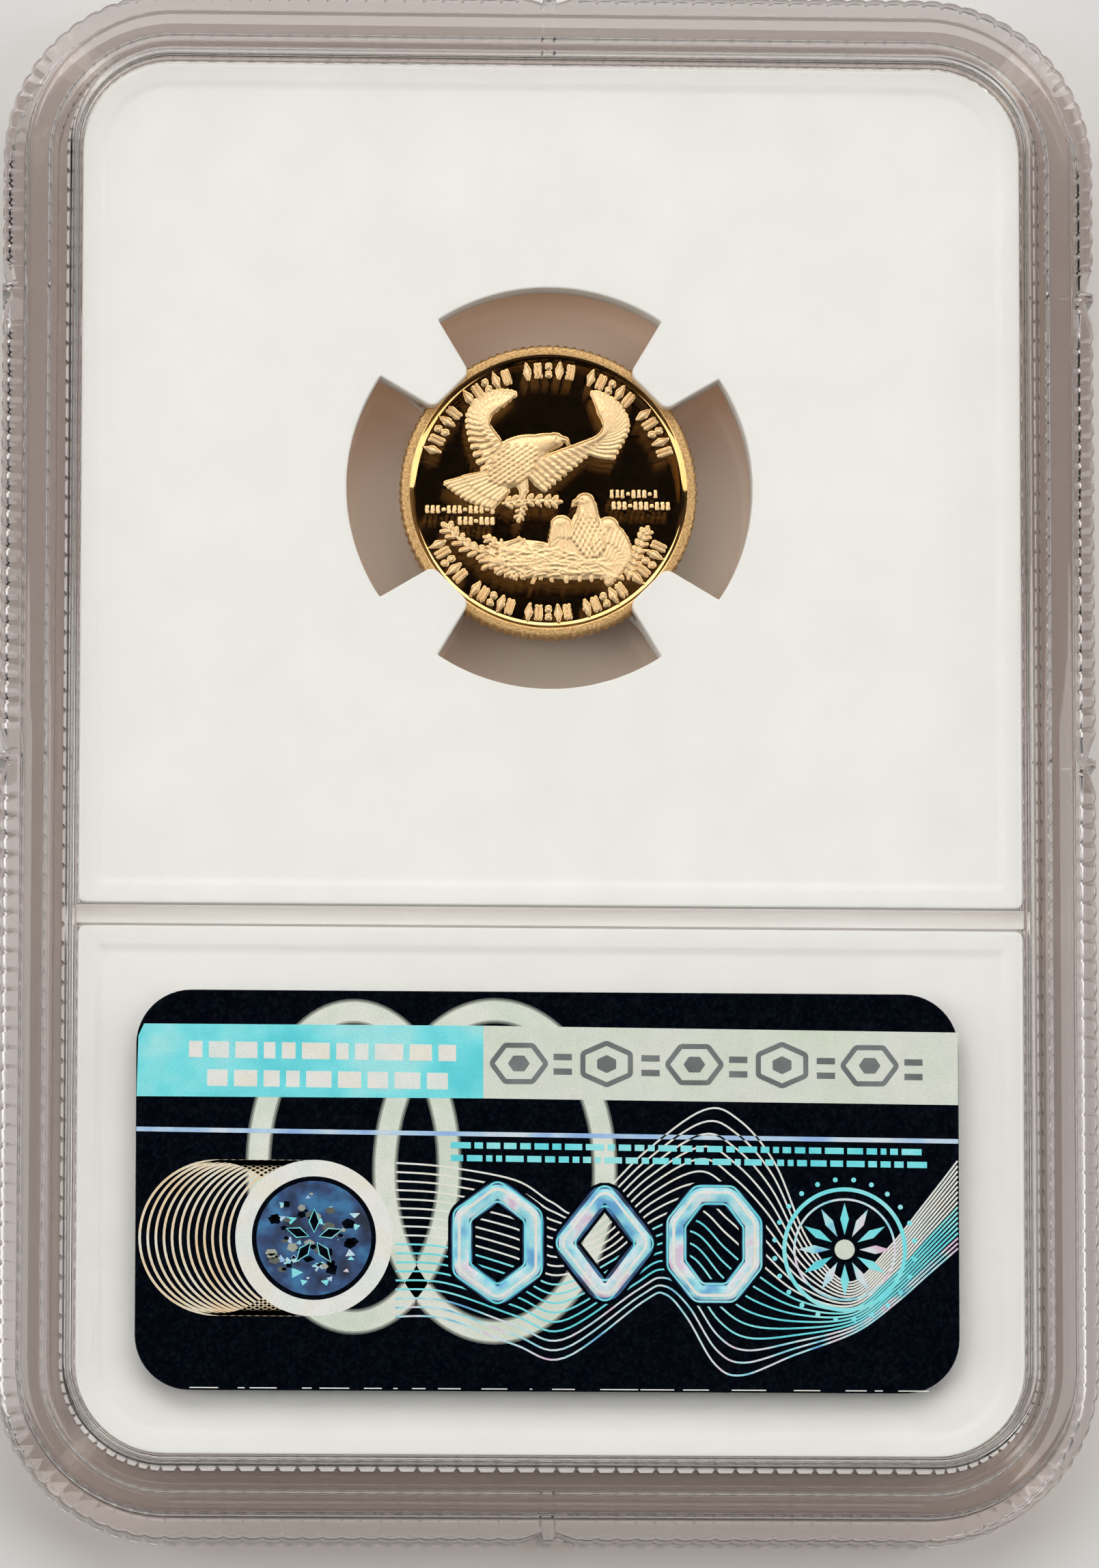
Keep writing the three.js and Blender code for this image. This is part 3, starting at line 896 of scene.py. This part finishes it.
class Cutouts:
    """Thin flat shapes collected into one mesh. Places are in the sheet's plane, from its middle."""

    def __init__(self, centre, height, up=1):
        self.centre, self.height, self.up = centre, height, up
        self.vertices, self.faces, self.finishes = [], [], []

    def keep(self, faces, finish):
        self.faces += faces
        self.finishes += [finish] * len(faces)

    def add(self, loops):
        """Keep loops' points, and give where they start, how many a loop has, and their side faces."""
        start, count = len(self.vertices), len(loops[0])
        for loop in loops:
            self.vertices += [(self.centre[0] + u, self.centre[1] + v, self.height + self.up * z)
                              for u, v, z in loop]
        return start, count, side_faces(start, count, len(loops))

    def patch(self, outline, level, finish):
        """A filled outline."""
        loops = [[(u, v, z) for u, v in outline] for z in (0, (level + 1) * FOIL_STEP)]
        start, count, faces = self.add(loops)
        faces += [list(range(start, start + count)), list(range(start + count, start + 2 * count))]
        self.keep(faces, finish)

    def ribbon(self, points, width, level, finish, closed=False, arch=0.0):
        """A strip along a line, flat or with an arched top."""
        p = np.array(points, float)
        ahead, behind = np.roll(p, -1, 0), np.roll(p, 1, 0)
        if not closed:
            ahead[-1], behind[0] = p[-1], p[0]
        along_line = ahead - behind
        along_line /= np.maximum(np.linalg.norm(along_line, axis=1), 1e-9)[:, None]
        side = np.stack([-along_line[:, 1], along_line[:, 0]], 1) * width / 2
        top = (level + 1) * FOIL_STEP
        section = [(-1, 0), (-1, top), (1, top), (1, 0)]
        if arch:
            crown = [(-cos(pi * k / 6), top + arch * sin(pi * k / 6)) for k in range(7)]
            section = [(-1, 0), *crown, (1, 0)]
        loops = [[(*(p[i] + side[i] * across), z) for across, z in section] for i in range(len(p))]
        start, count, faces = self.add(loops + loops[:1] if closed else loops)
        if not closed:
            last = start + (len(p) - 1) * count
            faces += [list(range(start, start + count)), list(range(last, last + count))]
        self.keep(faces, finish)

    def blocks(self, dice, ends, middle, half, widths, gap, level, finish, slope=0.0):
        """A row of plain blocks of random widths, in place of print."""
        u = ends[0]
        while u < ends[1]:
            width = dice.uniform(*widths)
            self.patch(bar(u, middle - half, u + width, middle + half, slope), level, finish)
            u += width + gap

    def build(self, name):
        """The finished piece, with each face's finish number set."""
        piece = mesh_object(name, self.vertices, self.faces, smooth=False)
        finish_faces(piece, self.finishes)
        return piece


def smooth_line(points, steps=8):
    """A dense line along the smooth curve through some points."""
    count = (len(points) - 1) * steps
    return [along(points, i / count) for i in range(count + 1)]


def polygon_line(centre, radii, sides, turn, corner):
    """A regular polygon's outline, stretched and with rounded corners."""
    tips = ellipse(centre, radii, sides, turn)
    points = []
    for k in range(sides):
        points += round_corner(tips[k - 1], tips[k], tips[(k + 1) % sides], corner, 5)
    return points


def bar(left, bottom, right, top, slope=0.0):
    """A box outline whose top and bottom edges fall to the right."""
    return [(left, bottom - slope * left), (right, bottom - slope * right),
            (right, top - slope * right), (left, top - slope * left)]


def make_film():
    """The sticker's black film, which the artwork's thin shapes lie on."""
    outline = rounded_rectangle(*sticker_low[:2], *sticker_high[:2], STICKER_RADIUS, STICKER_RADIUS)
    film = plate("sticker_film", outline, [], sticker_low[2], STICKER_TOP, 0.03)
    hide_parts("hologram_sticker")
    return film


BAND_SLOPE = 0.009
BAND_LOW, BAND_HIGH = 5.07, 9.06
BAND_CHANGE = -3.54
RING = (-12.75, -2.64)
RING_RADIUS = 4.28
RING_TRAIL = 12
RING_PITCH = 0.44
FACETS = 90
FACET_REACH = 2.55
LENS_FOILS = (BLUE, DEEP, BLACK, SHIMMER, DEEP, HAZE_DIM, CYAN, BLACK, HAZE_MID)


def make_band():
    """The two-colour band with plain blocks, and the thin line and row of blocks under it."""
    art = Cutouts(STICKER_PLACE, STICKER_TOP)
    edge = STICKER_HALF_X - 0.03
    corner = STICKER_RADIUS - (STICKER_HALF_Y - BAND_HIGH)
    art.patch([(-edge, BAND_LOW), (BAND_CHANGE, BAND_LOW), (BAND_CHANGE, BAND_HIGH),
               (corner * 0.35 - edge, BAND_HIGH), (corner * 0.08 - edge, BAND_HIGH - corner * 0.6)],
              1, CYAN)
    art.patch([(BAND_CHANGE, BAND_LOW), (edge, BAND_LOW - BAND_SLOPE * edge),
               (edge, BAND_HIGH - BAND_SLOPE * edge), (BAND_CHANGE, BAND_HIGH)], 1, SAGE)
    art.patch(bar(-edge, 2.95, edge, 3.2, BAND_SLOPE), 1, BLUE)
    dice = np.random.default_rng(11)
    for start, middle in ((-19.6, 7.5), (-18.6, 5.95)):
        art.blocks(dice, (start, -5.8), middle, 0.45, (0.6, 1.6), 0.35, 2, CREAM, BAND_SLOPE)
    for k, u in enumerate((-1.6, 3.2, 8.0, 12.8, 17.6)):
        turn = pi / 6 * (k % 2)
        art.ribbon(polygon_line((u, 7.0), (1.5, 1.15), 6, turn, 0.2), 0.28, 2, GREY, True)
        art.patch(polygon_line((u, 7.0), (0.6, 0.5), 6, turn, 0.1), 2, GREY)
        for low, high in ((6.4, 6.75), (7.2, 7.55)):
            art.patch(bar(u + 1.9, low, u + 2.9, high, BAND_SLOPE), 2, GREY)
    for middle in (2.45, 1.75):
        art.blocks(dice, (-5.3, 20.0), middle, 0.17, (0.3, 1.1), 0.2, 2, CYAN, BAND_SLOPE)
    return art.build("sticker_band")


def make_lens():
    """The ring with a glittering lens and a small rosette, and the row of circles that leaves it."""
    art = Cutouts(STICKER_PLACE, STICKER_TOP)
    for k in range(1, RING_TRAIL + 1):
        middle = (RING[0] - RING_PITCH * k, RING[1])
        art.ribbon(circle(middle, RING_RADIUS - 0.08, 72), 0.14, 1, WARM, True)
    for share, level, finish in ((1.0, 2, CREAM), (0.79, 3, BLACK), (0.73, 4, DEEP)):
        art.patch(circle(RING, RING_RADIUS * share, 72), level, finish)
    dice = np.random.default_rng(17)
    for k in range(FACETS):
        turn, reach = dice.uniform(0, 2 * pi), FACET_REACH * sqrt(dice.uniform(0.02, 1))
        size = dice.uniform(0.12, 0.42)
        radii = (size, size * dice.uniform(0.5, 1))
        art.patch(polygon_line(around(RING, reach, turn), radii, 3 + k % 3, turn, 0.02),
                  5 + k % 3, LENS_FOILS[k % len(LENS_FOILS)])
    for k in range(5):
        leaf = fan_shape(RING, 2 * pi * k / 5 + 0.3, ((0.3, 0.0), (0.95, -0.3), (1.6, 0.0), (0.95, 0.3)))
        art.patch(leaf, 9, BLACK)
        art.ribbon(leaf, 0.07, 10, CYAN, True)
    return art.build("sticker_lens")


WAVE_TOP = ((-8.3, 1.5), (-5.6, 1.3), (-1.8, 0.6), (0.2, -0.6), (1.9, -1.1), (5.2, 2.1), (8.5, 4.5),
            (10.4, 4.0), (12.4, 1.6), (14.2, -2.6), (16.4, -4.9), (18.6, -3.0), (20.7, -0.4), (22.4, 1.8))
WAVE_BOTTOM = ((-8.3, -6.9), (-5.6, -7.0), (-1.8, -8.4), (0.9, -9.1), (5.2, -6.0), (6.4, -5.6),
               (7.6, -6.9), (9.1, -9.4), (10.6, -10.0), (13.4, -8.9), (16.8, -7.6), (19.0, -6.0),
               (20.8, -4.4), (22.4, -3.0))
WAVES = 18
WAVE_FOILS = (CREAM, CREAM, CREAM, CYAN, CYAN, SHIMMER)


def make_waves():
    """The bundle of fine lines that swings across the foil."""
    art = Cutouts(STICKER_PLACE, STICKER_TOP)
    for k in range(WAVES):
        t = k / (WAVES - 1)
        points = [(between(a[0], b[0], t), between(a[1], b[1], t)) for a, b in zip(WAVE_TOP, WAVE_BOTTOM)]
        art.ribbon(smooth_line(points), 0.1, 1, WAVE_FOILS[k * len(WAVE_FOILS) // WAVES])
    return art.build("sticker_waves")


# A hoop is (x, sides, turn). A band is (growth, width, level, foil, arch).
HOOPS = ((-2.75, 6, pi / 2), (3.1, 4, 0.0), (9.08, 8, pi / 8))
HOOP_BANDS = ((-0.1, 1.5, 3, BLACK, 0.0), (-0.1, 1.15, 4, DEEP, 0.0), (-0.1, 0.8, 5, SHIMMER, 0.05),
              (0.42, 0.1, 5, CYAN, 0.0), (-0.62, 0.1, 5, CYAN, 0.0), (0.0, 0.26, 13, CREAM, 0.0))


def make_hoops():
    """Three large rounded polygons with a raised shimmering band, and a rosette beside them."""
    art = Cutouts(STICKER_PLACE, STICKER_TOP)
    for x, sides, turn in HOOPS:
        for grow, width, level, finish, arch in HOOP_BANDS:
            line = polygon_line((x, -2.83), (2.35 + grow, 3.0 + grow), sides, turn, 0.5)
            art.ribbon(line, width, level, finish, True, arch)
    middle = (16.2, -3.1)
    art.ribbon(circle(middle, 3.3, 60), 0.22, 3, CYAN, True)
    art.ribbon(circle(middle, 2.75, 60), 0.12, 3, SHIMMER, True)
    for k in range(12):
        petal = fan_shape(middle, 2 * pi * k / 12, ((0.8, 0.0), (1.7, -0.14), (2.55, 0.0), (1.7, 0.14)))
        art.patch(petal, 3, (SHIMMER, CYAN)[k % 2])
    art.patch(circle(middle, 0.55, 24), 3, SAGE)
    for k in range(24):
        art.patch(circle(around(middle, 3.85, 2 * pi * (k + 0.5) / 24), 0.14, 8), 3, CYAN)
    return art.build("sticker_hoops")


HAZE_OVALS = (((-10.6, 1.3), (5.2, 8.5)), ((-2.9, 1.1), (6.0, 8.8)))
HAZE_BANDS = ((1.4, -0.8, HAZE_DIM), (1.22, -0.6, HAZE_MID), (1.04, -0.4, HAZE_BRIGHT))


def make_haze():
    """Two broad pale ovals behind the artwork with soft edges, and painted glints on the film's lower
    edge.
    """
    art = Cutouts(STICKER_PLACE, STICKER_TOP)
    for middle, radii in HAZE_OVALS:
        for width, level, finish in HAZE_BANDS:
            art.ribbon(ellipse(middle, radii, 96), width, level, finish, True)
    dice = np.random.default_rng(23)
    # Painted highlights: cream foil bars along the film's lower edge stand in for light glinting on its
    # cut edge.
    u = STICKER_RADIUS - STICKER_HALF_X
    while u < STICKER_HALF_X - STICKER_RADIUS:
        width = dice.uniform(0.1, 2.2)
        art.patch(bar(u, 0.1 - STICKER_HALF_Y, u + width, 0.16 - STICKER_HALF_Y), 1, CREAM)
        u += width + dice.uniform(0.1, 1.6)
    return art.build("sticker_haze")


# ---------------------------------------------------------------- front label

label_low, label_high = box_mm("front_label")
LABEL_RADII = (4.6, 0.4)
INK_BLUE, INK_BLACK, INK_GOLD = range(3)


def make_label():
    """The paper label that faces the front window, with plain printed blocks on that face."""
    outline = rounded_rectangle(*label_low[:2], *label_high[:2], *LABEL_RADII)
    sheet = plate("front_label_sheet", outline, [], label_low[2], label_high[2], 0.02)
    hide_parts("front_label")
    centre = (label_low[:2] + label_high[:2]) / 2
    half_x, half_y = (label_high[:2] - label_low[:2]) / 2
    print_art = Cutouts(centre, label_low[2], -1)
    print_art.patch(bar(-half_x + 0.6, half_y - 4.2, half_x - 0.6, half_y - 1.0), 0, INK_BLUE)
    dice = np.random.default_rng(5)
    for row in range(5):
        print_art.blocks(dice, (-half_x + 3.0, half_x - 17.0), half_y - 7.5 - 3.1 * row, 0.6,
                         (1.2, 4.2), 0.8, 0, INK_BLACK)
    seal = (half_x - 9.0, -3.0)
    print_art.patch(circle(seal, 5.6, 64), 0, INK_BLUE)
    print_art.ribbon(circle(seal, 4.9, 64), 0.3, 1, INK_GOLD, True)
    star = [(reach, pi / 8 * k) for k, reach in enumerate((4.1, 2.2) * 8)]
    print_art.patch(fan_shape(seal, pi / 2, star), 1, INK_GOLD)
    for k in range(34):
        u = -half_x + 3.0 + 0.62 * k
        width = 0.2 + 0.2 * (k % 3 == 0)
        print_art.patch(bar(u, -half_y + 1.2, u + width, -half_y + 3.2), 0, INK_BLACK)
    return sheet, print_art.build("front_label_print")


# ---------------------------------------------------------------- the finished scene

def make_camera():
    """The view of the photograph: from above, leaning a little from the label end and the left."""
    distance, lean, turn, roll = 602.6, radians(8.63), radians(19.09), radians(19.34)
    aim = Vector((-0.04, -1.52, SLAB_TOP))
    offset = Vector((-sin(turn) * sin(lean), -cos(turn) * sin(lean), cos(lean)))
    back = offset.normalized()
    right = Vector((0, 0, 1)).cross(back).normalized()
    up = back.cross(right)
    turned_right = right * cos(roll) + up * sin(roll)
    turned_up = up * cos(roll) - right * sin(roll)
    data = bpy.data.cameras.new("camera")
    data.sensor_fit = "VERTICAL"
    data.sensor_height = 24.0
    data.lens = 168.5
    data.clip_start = 0.01
    data.clip_end = 20.0
    camera = bpy.data.objects.new("camera", data)
    place = Matrix((turned_right, turned_up, back)).transposed().to_4x4()
    place.translation = (aim + offset * distance) * MM
    camera.matrix_world = place
    bpy.context.scene.collection.objects.link(camera)
    bpy.context.scene.camera = camera


class Finish:
    """A Principled material to which fine patterns are added one by one. Sizes are millimetres."""

    def __init__(self, name, colour, roughness=0.5, metallic=0.0):
        self.material = bpy.data.materials.new(name)
        self.material.use_nodes = True
        self.tree = self.material.node_tree
        self.shader = self.tree.nodes["Principled BSDF"]
        self.shader.inputs["Base Color"].default_value = (*colour, 1)
        self.shader.inputs["Roughness"].default_value = roughness
        self.shader.inputs["Metallic"].default_value = metallic
        self.place = self.tree.nodes.new("ShaderNodeTexCoord").outputs["Object"]

    def node(self, kind, **inputs):
        node = self.tree.nodes.new("ShaderNode" + kind)
        for name, value in inputs.items():
            node.inputs[name].default_value = value
        return node

    def link(self, out, into):
        self.tree.links.new(out, into)

    def noise(self, size_mm, detail=3.0, stretch=(1, 1, 1)):
        """A noise pattern whose features are about a given size."""
        scaled = self.node("Mapping", Scale=stretch)
        noise = self.node("TexNoise", Scale=1 / (size_mm * MM), Detail=detail)
        self.link(self.place, scaled.inputs["Vector"])
        self.link(scaled.outputs[0], noise.inputs["Vector"])
        return noise.outputs["Fac"]

    def cells(self, size_mm, output="Distance"):
        """A pattern of small cells."""
        cells = self.node("TexVoronoi", Scale=1 / (size_mm * MM))
        self.link(self.place, cells.inputs["Vector"])
        return cells.outputs[output]

    def ramp(self, factor, *stops):
        """Colours or grey values against a factor. A stop is (position, colour)."""
        ramp = self.tree.nodes.new("ShaderNodeValToRGB")
        elements = ramp.color_ramp.elements
        while len(elements) < len(stops):
            elements.new(0.5)
        for element, (position, colour) in zip(elements, stops):
            element.position = position
            element.color = (*colour, 1) if len(colour) == 3 else (*colour * 3, 1)
        self.link(factor, ramp.inputs[0])
        return ramp.outputs[0]

    def colour(self, factor, *stops):
        self.link(self.ramp(factor, *stops), self.shader.inputs["Base Color"])
        return self

    def roughness(self, factor, low, high):
        self.link(self.ramp(factor, (0.3, (low,)), (0.7, (high,))), self.shader.inputs["Roughness"])
        return self

    def bump(self, factor, depth_mm):
        """Add relief too fine for the mesh. A second call adds to the first."""
        bump = self.node("Bump", Strength=1.0, Distance=depth_mm * MM)
        self.link(factor, bump.inputs["Height"])
        for link in self.shader.inputs["Normal"].links:
            self.link(link.from_socket, bump.inputs["Normal"])
        self.link(bump.outputs[0], self.shader.inputs["Normal"])
        return self

    def set(self, **inputs):
        for name, value in inputs.items():
            self.shader.inputs[name.replace("_", " ")].default_value = value
        return self


RIM_MARGIN = 0.05
PAINTED_LIGHT_REACH = 0.02
# What share of the light's red, green and blue each face passes to what it covers, and tints.
BACK_SHADOW = (0.84, 0.84, 0.83)
FRONT_SHADOW = (0.99, 0.85, 0.72)
RIM_SHADOW = (0.78, 0.755, 0.745)
PLATE_SHADOW = (0.60, 0.47, 0.38)
WINDOW_TINT = (0.97, 0.965, 0.955)
# The rim's tint is painted shade: it darkens the rim's clear plastic to stand in for the shade seen
# through the thick rim.
RIM_PAINTED_SHADE_TINT = (0.825, 0.80, 0.79)
MOULD_FLOW = (0.1, 1.0, 1.0)


def pass_shadows(finish, share):
    """Let a piece pass a share of the light to what it covers."""
    path = finish.node("LightPath")
    through = finish.node("BsdfTransparent", Color=(*share, 1))
    mix = finish.node("MixShader")
    finish.link(path.outputs["Is Shadow Ray"], mix.inputs[0])
    finish.link(finish.shader.outputs[0], mix.inputs[1])
    finish.link(through.outputs[0], mix.inputs[2])
    finish.link(mix.outputs[0], finish.tree.nodes["Material Output"].inputs["Surface"])


def clear_plastic(name, tint, shadow):
    """Polystyrene. shadow is the share of light that each of its faces passes to what it covers."""
    finish = Finish(name, tint, 0.0)
    finish.set(Transmission_Weight=1.0, IOR=1.585)
    finish.roughness(finish.noise(1.6, 6.0, (1.0, 0.12, 1.0)), 0.0, 0.03)
    finish.bump(finish.noise(6.0, 2.0), 0.004)
    pass_shadows(finish, shadow)
    return finish.material


def painted_light_plastic(name, shadow):
    """Painted light on the divider rib's end and the weld ribs' tops: a pale face that stands in for the
    white plates and the light seen inside these clear ribs, so that they look pale through the clear
    plastic.
    """
    finish = Finish(name, (0.86, 0.86, 0.85), 0.5)
    finish.colour(finish.noise(0.8, 3.0, MOULD_FLOW),
                  (0.3, (0.93, 0.93, 0.92)), (0.7, (0.99, 0.99, 0.98)))
    finish.bump(finish.noise(0.3, 3.0, MOULD_FLOW), 0.004)
    pass_shadows(finish, shadow)
    return finish.material


def give_shell(shell, name, shadow, *painted_light_heights):
    """Clear windows, a rim tint darkened as painted shade, and faces at some heights painted pale as
    painted light.
    """
    give(shell, clear_plastic(name + "_window", WINDOW_TINT, shadow),
         clear_plastic(name + "_rim", RIM_PAINTED_SHADE_TINT, RIM_SHADOW), painted_light_plastic(name + "_milky", shadow))
    centres = face_centres(shell)
    # Faces out in the rim get the tint that is darkened as painted shade.
    in_rim = (np.abs(centres[:, :2] - BAY_CENTRE) > np.array(BAY_HALF) - RIM_MARGIN).any(axis=1)
    # Faces at these heights get the pale finish, which is painted light.
    painted_light = (np.abs(centres[:, 2:] - painted_light_heights) < PAINTED_LIGHT_REACH).any(axis=1)
    finish_faces(shell, np.where(painted_light, 2, in_rim))


def textured(name, base, colour, rough=None, bumps=(), metallic=0.0):
    """A material with noise in its colour, roughness and relief.

    base is (colour, roughness), colour is (noise, low position, low, high position, high), rough is
    (noise, low, high), and a bump is (noise, depth). A noise is (size, detail).
    """
    finish = Finish(name, *base, metallic)
    noise, low_place, low, high_place, high = colour
    finish.colour(finish.noise(*noise), (low_place, low), (high_place, high))
    if rough:
        finish.roughness(finish.noise(*rough[0]), *rough[1:])
    for noise, depth in bumps:
        finish.bump(finish.noise(*noise), depth)
    return finish


def white_plastic():
    finish = textured("white_moulded_plastic", ((0.86, 0.86, 0.84), 0.55),
                      ((4.0, 5.0), 0.3, (0.83, 0.83, 0.81), 0.7, (0.87, 0.87, 0.85)),
                      ((0.5,), 0.5, 0.62), (((0.12, 4.0), 0.006), ((1.5, 2.0), 0.004)))
    pass_shadows(finish, PLATE_SHADOW)
    return finish.material


def golds():
    """Mirror field, frosted relief and sanded rim, in the order of MIRROR, FROST and RIM."""
    return [textured(*look, metallic=1.0).material for look in (
        ("gold_mirror_field", ((0.85, 0.50, 0.20), 0.04),
         ((1.0,), 0.35, (0.80, 0.46, 0.17), 0.65, (0.88, 0.54, 0.23)),
         ((0.3, 5.0), 0.02, 0.06), (((2.5, 2.0), 0.0008),)),
        ("gold_frosted_relief", ((1.0, 0.74, 0.42), 0.5),
         ((0.1, 4.0), 0.3, (0.86, 0.56, 0.27), 0.7, (1.0, 0.80, 0.50)),
         ((0.15, 4.0), 0.36, 0.5), (((0.05, 4.0), 0.012),)),
        ("gold_sanded_rim", ((0.66, 0.42, 0.19), 0.5),
         ((0.12, 4.0), 0.35, (0.42, 0.25, 0.10), 0.65, (0.80, 0.53, 0.25)),
         ((0.2, 4.0), 0.4, 0.6), (((0.09, 4.0), 0.012),)))]


FOIL_ROUGHNESS = 0.38
FOIL_METALLIC = 0.1
FOIL_DOTS = 0.1


def foil(name, colours, size_mm):
    """A printed holographic foil: its colours drift across it, and fine dots cover it."""
    finish = Finish("foil_" + name, colours[0], FOIL_ROUGHNESS, FOIL_METALLIC)
    stops = [((k + 0.5) / len(colours) * 0.5 + 0.25, colour) for k, colour in enumerate(colours)]
    drift = finish.ramp(finish.noise(size_mm, 2.0), *stops)
    speckle = finish.ramp(finish.cells(FOIL_DOTS), (0.1, (0.86, 0.87, 0.88)), (0.5, (1.0, 1.0, 1.0)))
    mix = finish.node("MixRGB", Fac=1.0)
    mix.blend_type = "MULTIPLY"
    finish.link(drift, mix.inputs[1])
    finish.link(speckle, mix.inputs[2])
    finish.link(mix.outputs[0], finish.shader.inputs["Base Color"])
    finish.bump(finish.cells(FOIL_DOTS), 0.004)
    finish.roughness(finish.noise(0.8), FOIL_ROUGHNESS * 0.8, FOIL_ROUGHNESS * 1.2)
    return finish.material


def black_film():
    """The film's dark ground, with small flecks."""
    finish = Finish("foil_black_film", (0.003, 0.004, 0.008), 0.12)
    finish.colour(finish.cells(0.16, "Color"), (0.5, (0.001, 0.002, 0.005)), (0.9, (0.004, 0.007, 0.012)))
    finish.roughness(finish.noise(0.6, 4.0), 0.08, 0.16)
    finish.bump(finish.cells(0.2), 0.001)
    return finish.material


def sticker_foils():
    """One material for each name in FOILS."""
    looks = {
        "cyan": (((0.14, 0.84, 0.92), (0.24, 0.95, 1.0), (0.42, 0.98, 1.0)), 3.0),
        "sage": (((0.80, 0.88, 0.72), (0.84, 0.90, 0.78), (0.88, 0.89, 0.80)), 4.0),
        "cream": (((1.0, 0.97, 0.84), (1.0, 1.0, 0.94), (0.92, 1.0, 0.94)), 2.5),
        "warm": (((1.0, 0.72, 0.42), (1.0, 0.86, 0.62), (1.0, 0.96, 0.84)), 2.5),
        "grey": (((0.17, 0.18, 0.18), (0.22, 0.24, 0.24)), 2.0),
        "shimmer": (((0.16, 0.50, 0.85), (0.40, 0.90, 0.98), (0.86, 0.96, 1.0), (0.86, 0.62, 0.80)), 1.6),
        "blue": (((0.36, 0.58, 0.98), (0.55, 0.78, 1.0), (0.80, 0.92, 1.0)), 2.0),
        "deep": (((0.01, 0.02, 0.05), (0.03, 0.08, 0.22), (0.05, 0.22, 0.45)), 1.2),
        "haze_dim": (((0.10, 0.12, 0.10), (0.14, 0.15, 0.13)), 3.0),
        "haze_mid": (((0.38, 0.42, 0.36), (0.46, 0.48, 0.40)), 3.0),
        "haze_bright": (((0.78, 0.88, 0.74), (0.92, 0.95, 0.84)), 3.0),
    }
    made = {name: foil(name, colours, size) for name, (colours, size) in looks.items()}
    made["black"] = black_film()
    return [made[name] for name in FOILS]


def label_papers():
    """The label's paper, and its blue, black and gold inks."""
    paper = textured("coated_paper", ((0.86, 0.85, 0.81), 0.45),
                     ((0.5, 6.0), 0.3, (0.82, 0.81, 0.77), 0.7, (0.88, 0.87, 0.83)),
                     bumps=(((0.08, 5.0), 0.008),))
    inks = [textured("ink_" + name, (dark, 0.4), ((0.3, 5.0), 0.35, dark, 0.65, light),
                     bumps=(((0.08, 5.0), 0.006),)).material
            for name, dark, light in (("blue", (0.02, 0.05, 0.16), (0.03, 0.07, 0.21)),
                                      ("black", (0.015, 0.015, 0.02), (0.03, 0.03, 0.035)),
                                      ("gold", (0.55, 0.40, 0.16), (0.66, 0.50, 0.24)))]
    return paper.material, inks


def floor_paper():
    return textured("floor_paper", ((0.88, 0.87, 0.85), 0.9),
                    ((60.0, 2.0), 0.3, (0.86, 0.85, 0.83), 0.7, (0.90, 0.89, 0.87)),
                    bumps=(((0.4, 4.0), 0.01),)).material


def give(thing, *materials):
    for material in materials:
        thing.data.materials.append(material)


def area_light(name, place, size, watts, colour=(1, 1, 1)):
    """A soft box that faces the holder. Its place and size are in metres."""
    data = bpy.data.lights.new(name, "AREA")
    data.shape = "RECTANGLE"
    data.size, data.size_y = size
    data.energy = watts
    data.color = colour
    lamp = bpy.data.objects.new(name, data)
    lamp.location = place
    lamp.rotation_euler = Vector(place).to_track_quat("Z", "Y").to_euler()
    bpy.context.scene.collection.objects.link(lamp)


def make_floor():
    """A wide sheet of paper just under the holder, in metres."""
    mesh = bpy.data.meshes.new("floor")
    reach, drop = 3, 0.0002
    mesh.from_pydata([(-reach, -reach, 0), (reach, -reach, 0), (reach, reach, 0), (-reach, reach, 0)],
                     [], [[0, 1, 2, 3]])
    floor = bpy.data.objects.new("floor", mesh)
    floor.location.z = -drop
    bpy.context.scene.collection.objects.link(floor)
    give(floor, floor_paper())


def make_world():
    """A studio that is grey at the horizon and dark overhead."""
    world = bpy.data.worlds.new("studio")
    bpy.context.scene.world = world
    world.use_nodes = True
    tree = world.node_tree
    nodes, links = tree.nodes, tree.links
    place = nodes.new("ShaderNodeTexCoord")
    split = nodes.new("ShaderNodeSeparateXYZ")
    ramp = nodes.new("ShaderNodeValToRGB")
    horizon, zenith = ramp.color_ramp.elements
    horizon.position, horizon.color = 0.35, (0.14, 0.135, 0.13, 1)
    zenith.position, zenith.color = 0.75, (0.003, 0.003, 0.003, 1)
    links.new(place.outputs["Generated"], split.inputs[0])
    links.new(split.outputs["Z"], ramp.inputs[0])
    links.new(ramp.outputs[0], nodes["Background"].inputs["Color"])
    nodes["Background"].inputs["Strength"].default_value = 1.0


make_camera()
make_floor()
make_world()
area_light("north_box", (0.0, 0.84, 1.24), size=(1.8, 0.7), watts=13.8, colour=(1.0, 0.99, 0.975))
for name, side in (("west_box", -1.0), ("east_box", 1.0)):
    area_light(name, (side, 0.0, 1.1), size=(0.5, 1.6), watts=5.6)
bpy.context.scene.view_settings.view_transform = "Standard"

# The last heights pick the faces painted pale as painted light.
give_shell(make_back_shell(), "back_polystyrene", BACK_SHADOW, PARTING + DIVIDER_GAP / 2,
           PARTING + SEAM_GAP / 2 + WELD_RIB_HEIGHT + 0.01)
give_shell(make_front_shell(), "front_polystyrene", FRONT_SHADOW, PARTING - DIVIDER_GAP / 2)

white = white_plastic()
give(make_coin_plate(), white)
give(make_label_backing(), white)

coin_golds = golds()
give(make_coin(), *coin_golds)
give(make_obverse(), *coin_golds)

foils = sticker_foils()
give(make_film(), foils[BLACK])
for make in (make_haze, make_band, make_waves, make_lens, make_hoops):
    give(make(), *foils)

paper, inks = label_papers()
sheet, print_art = make_label()
give(sheet, paper)
give(print_art, *inks)
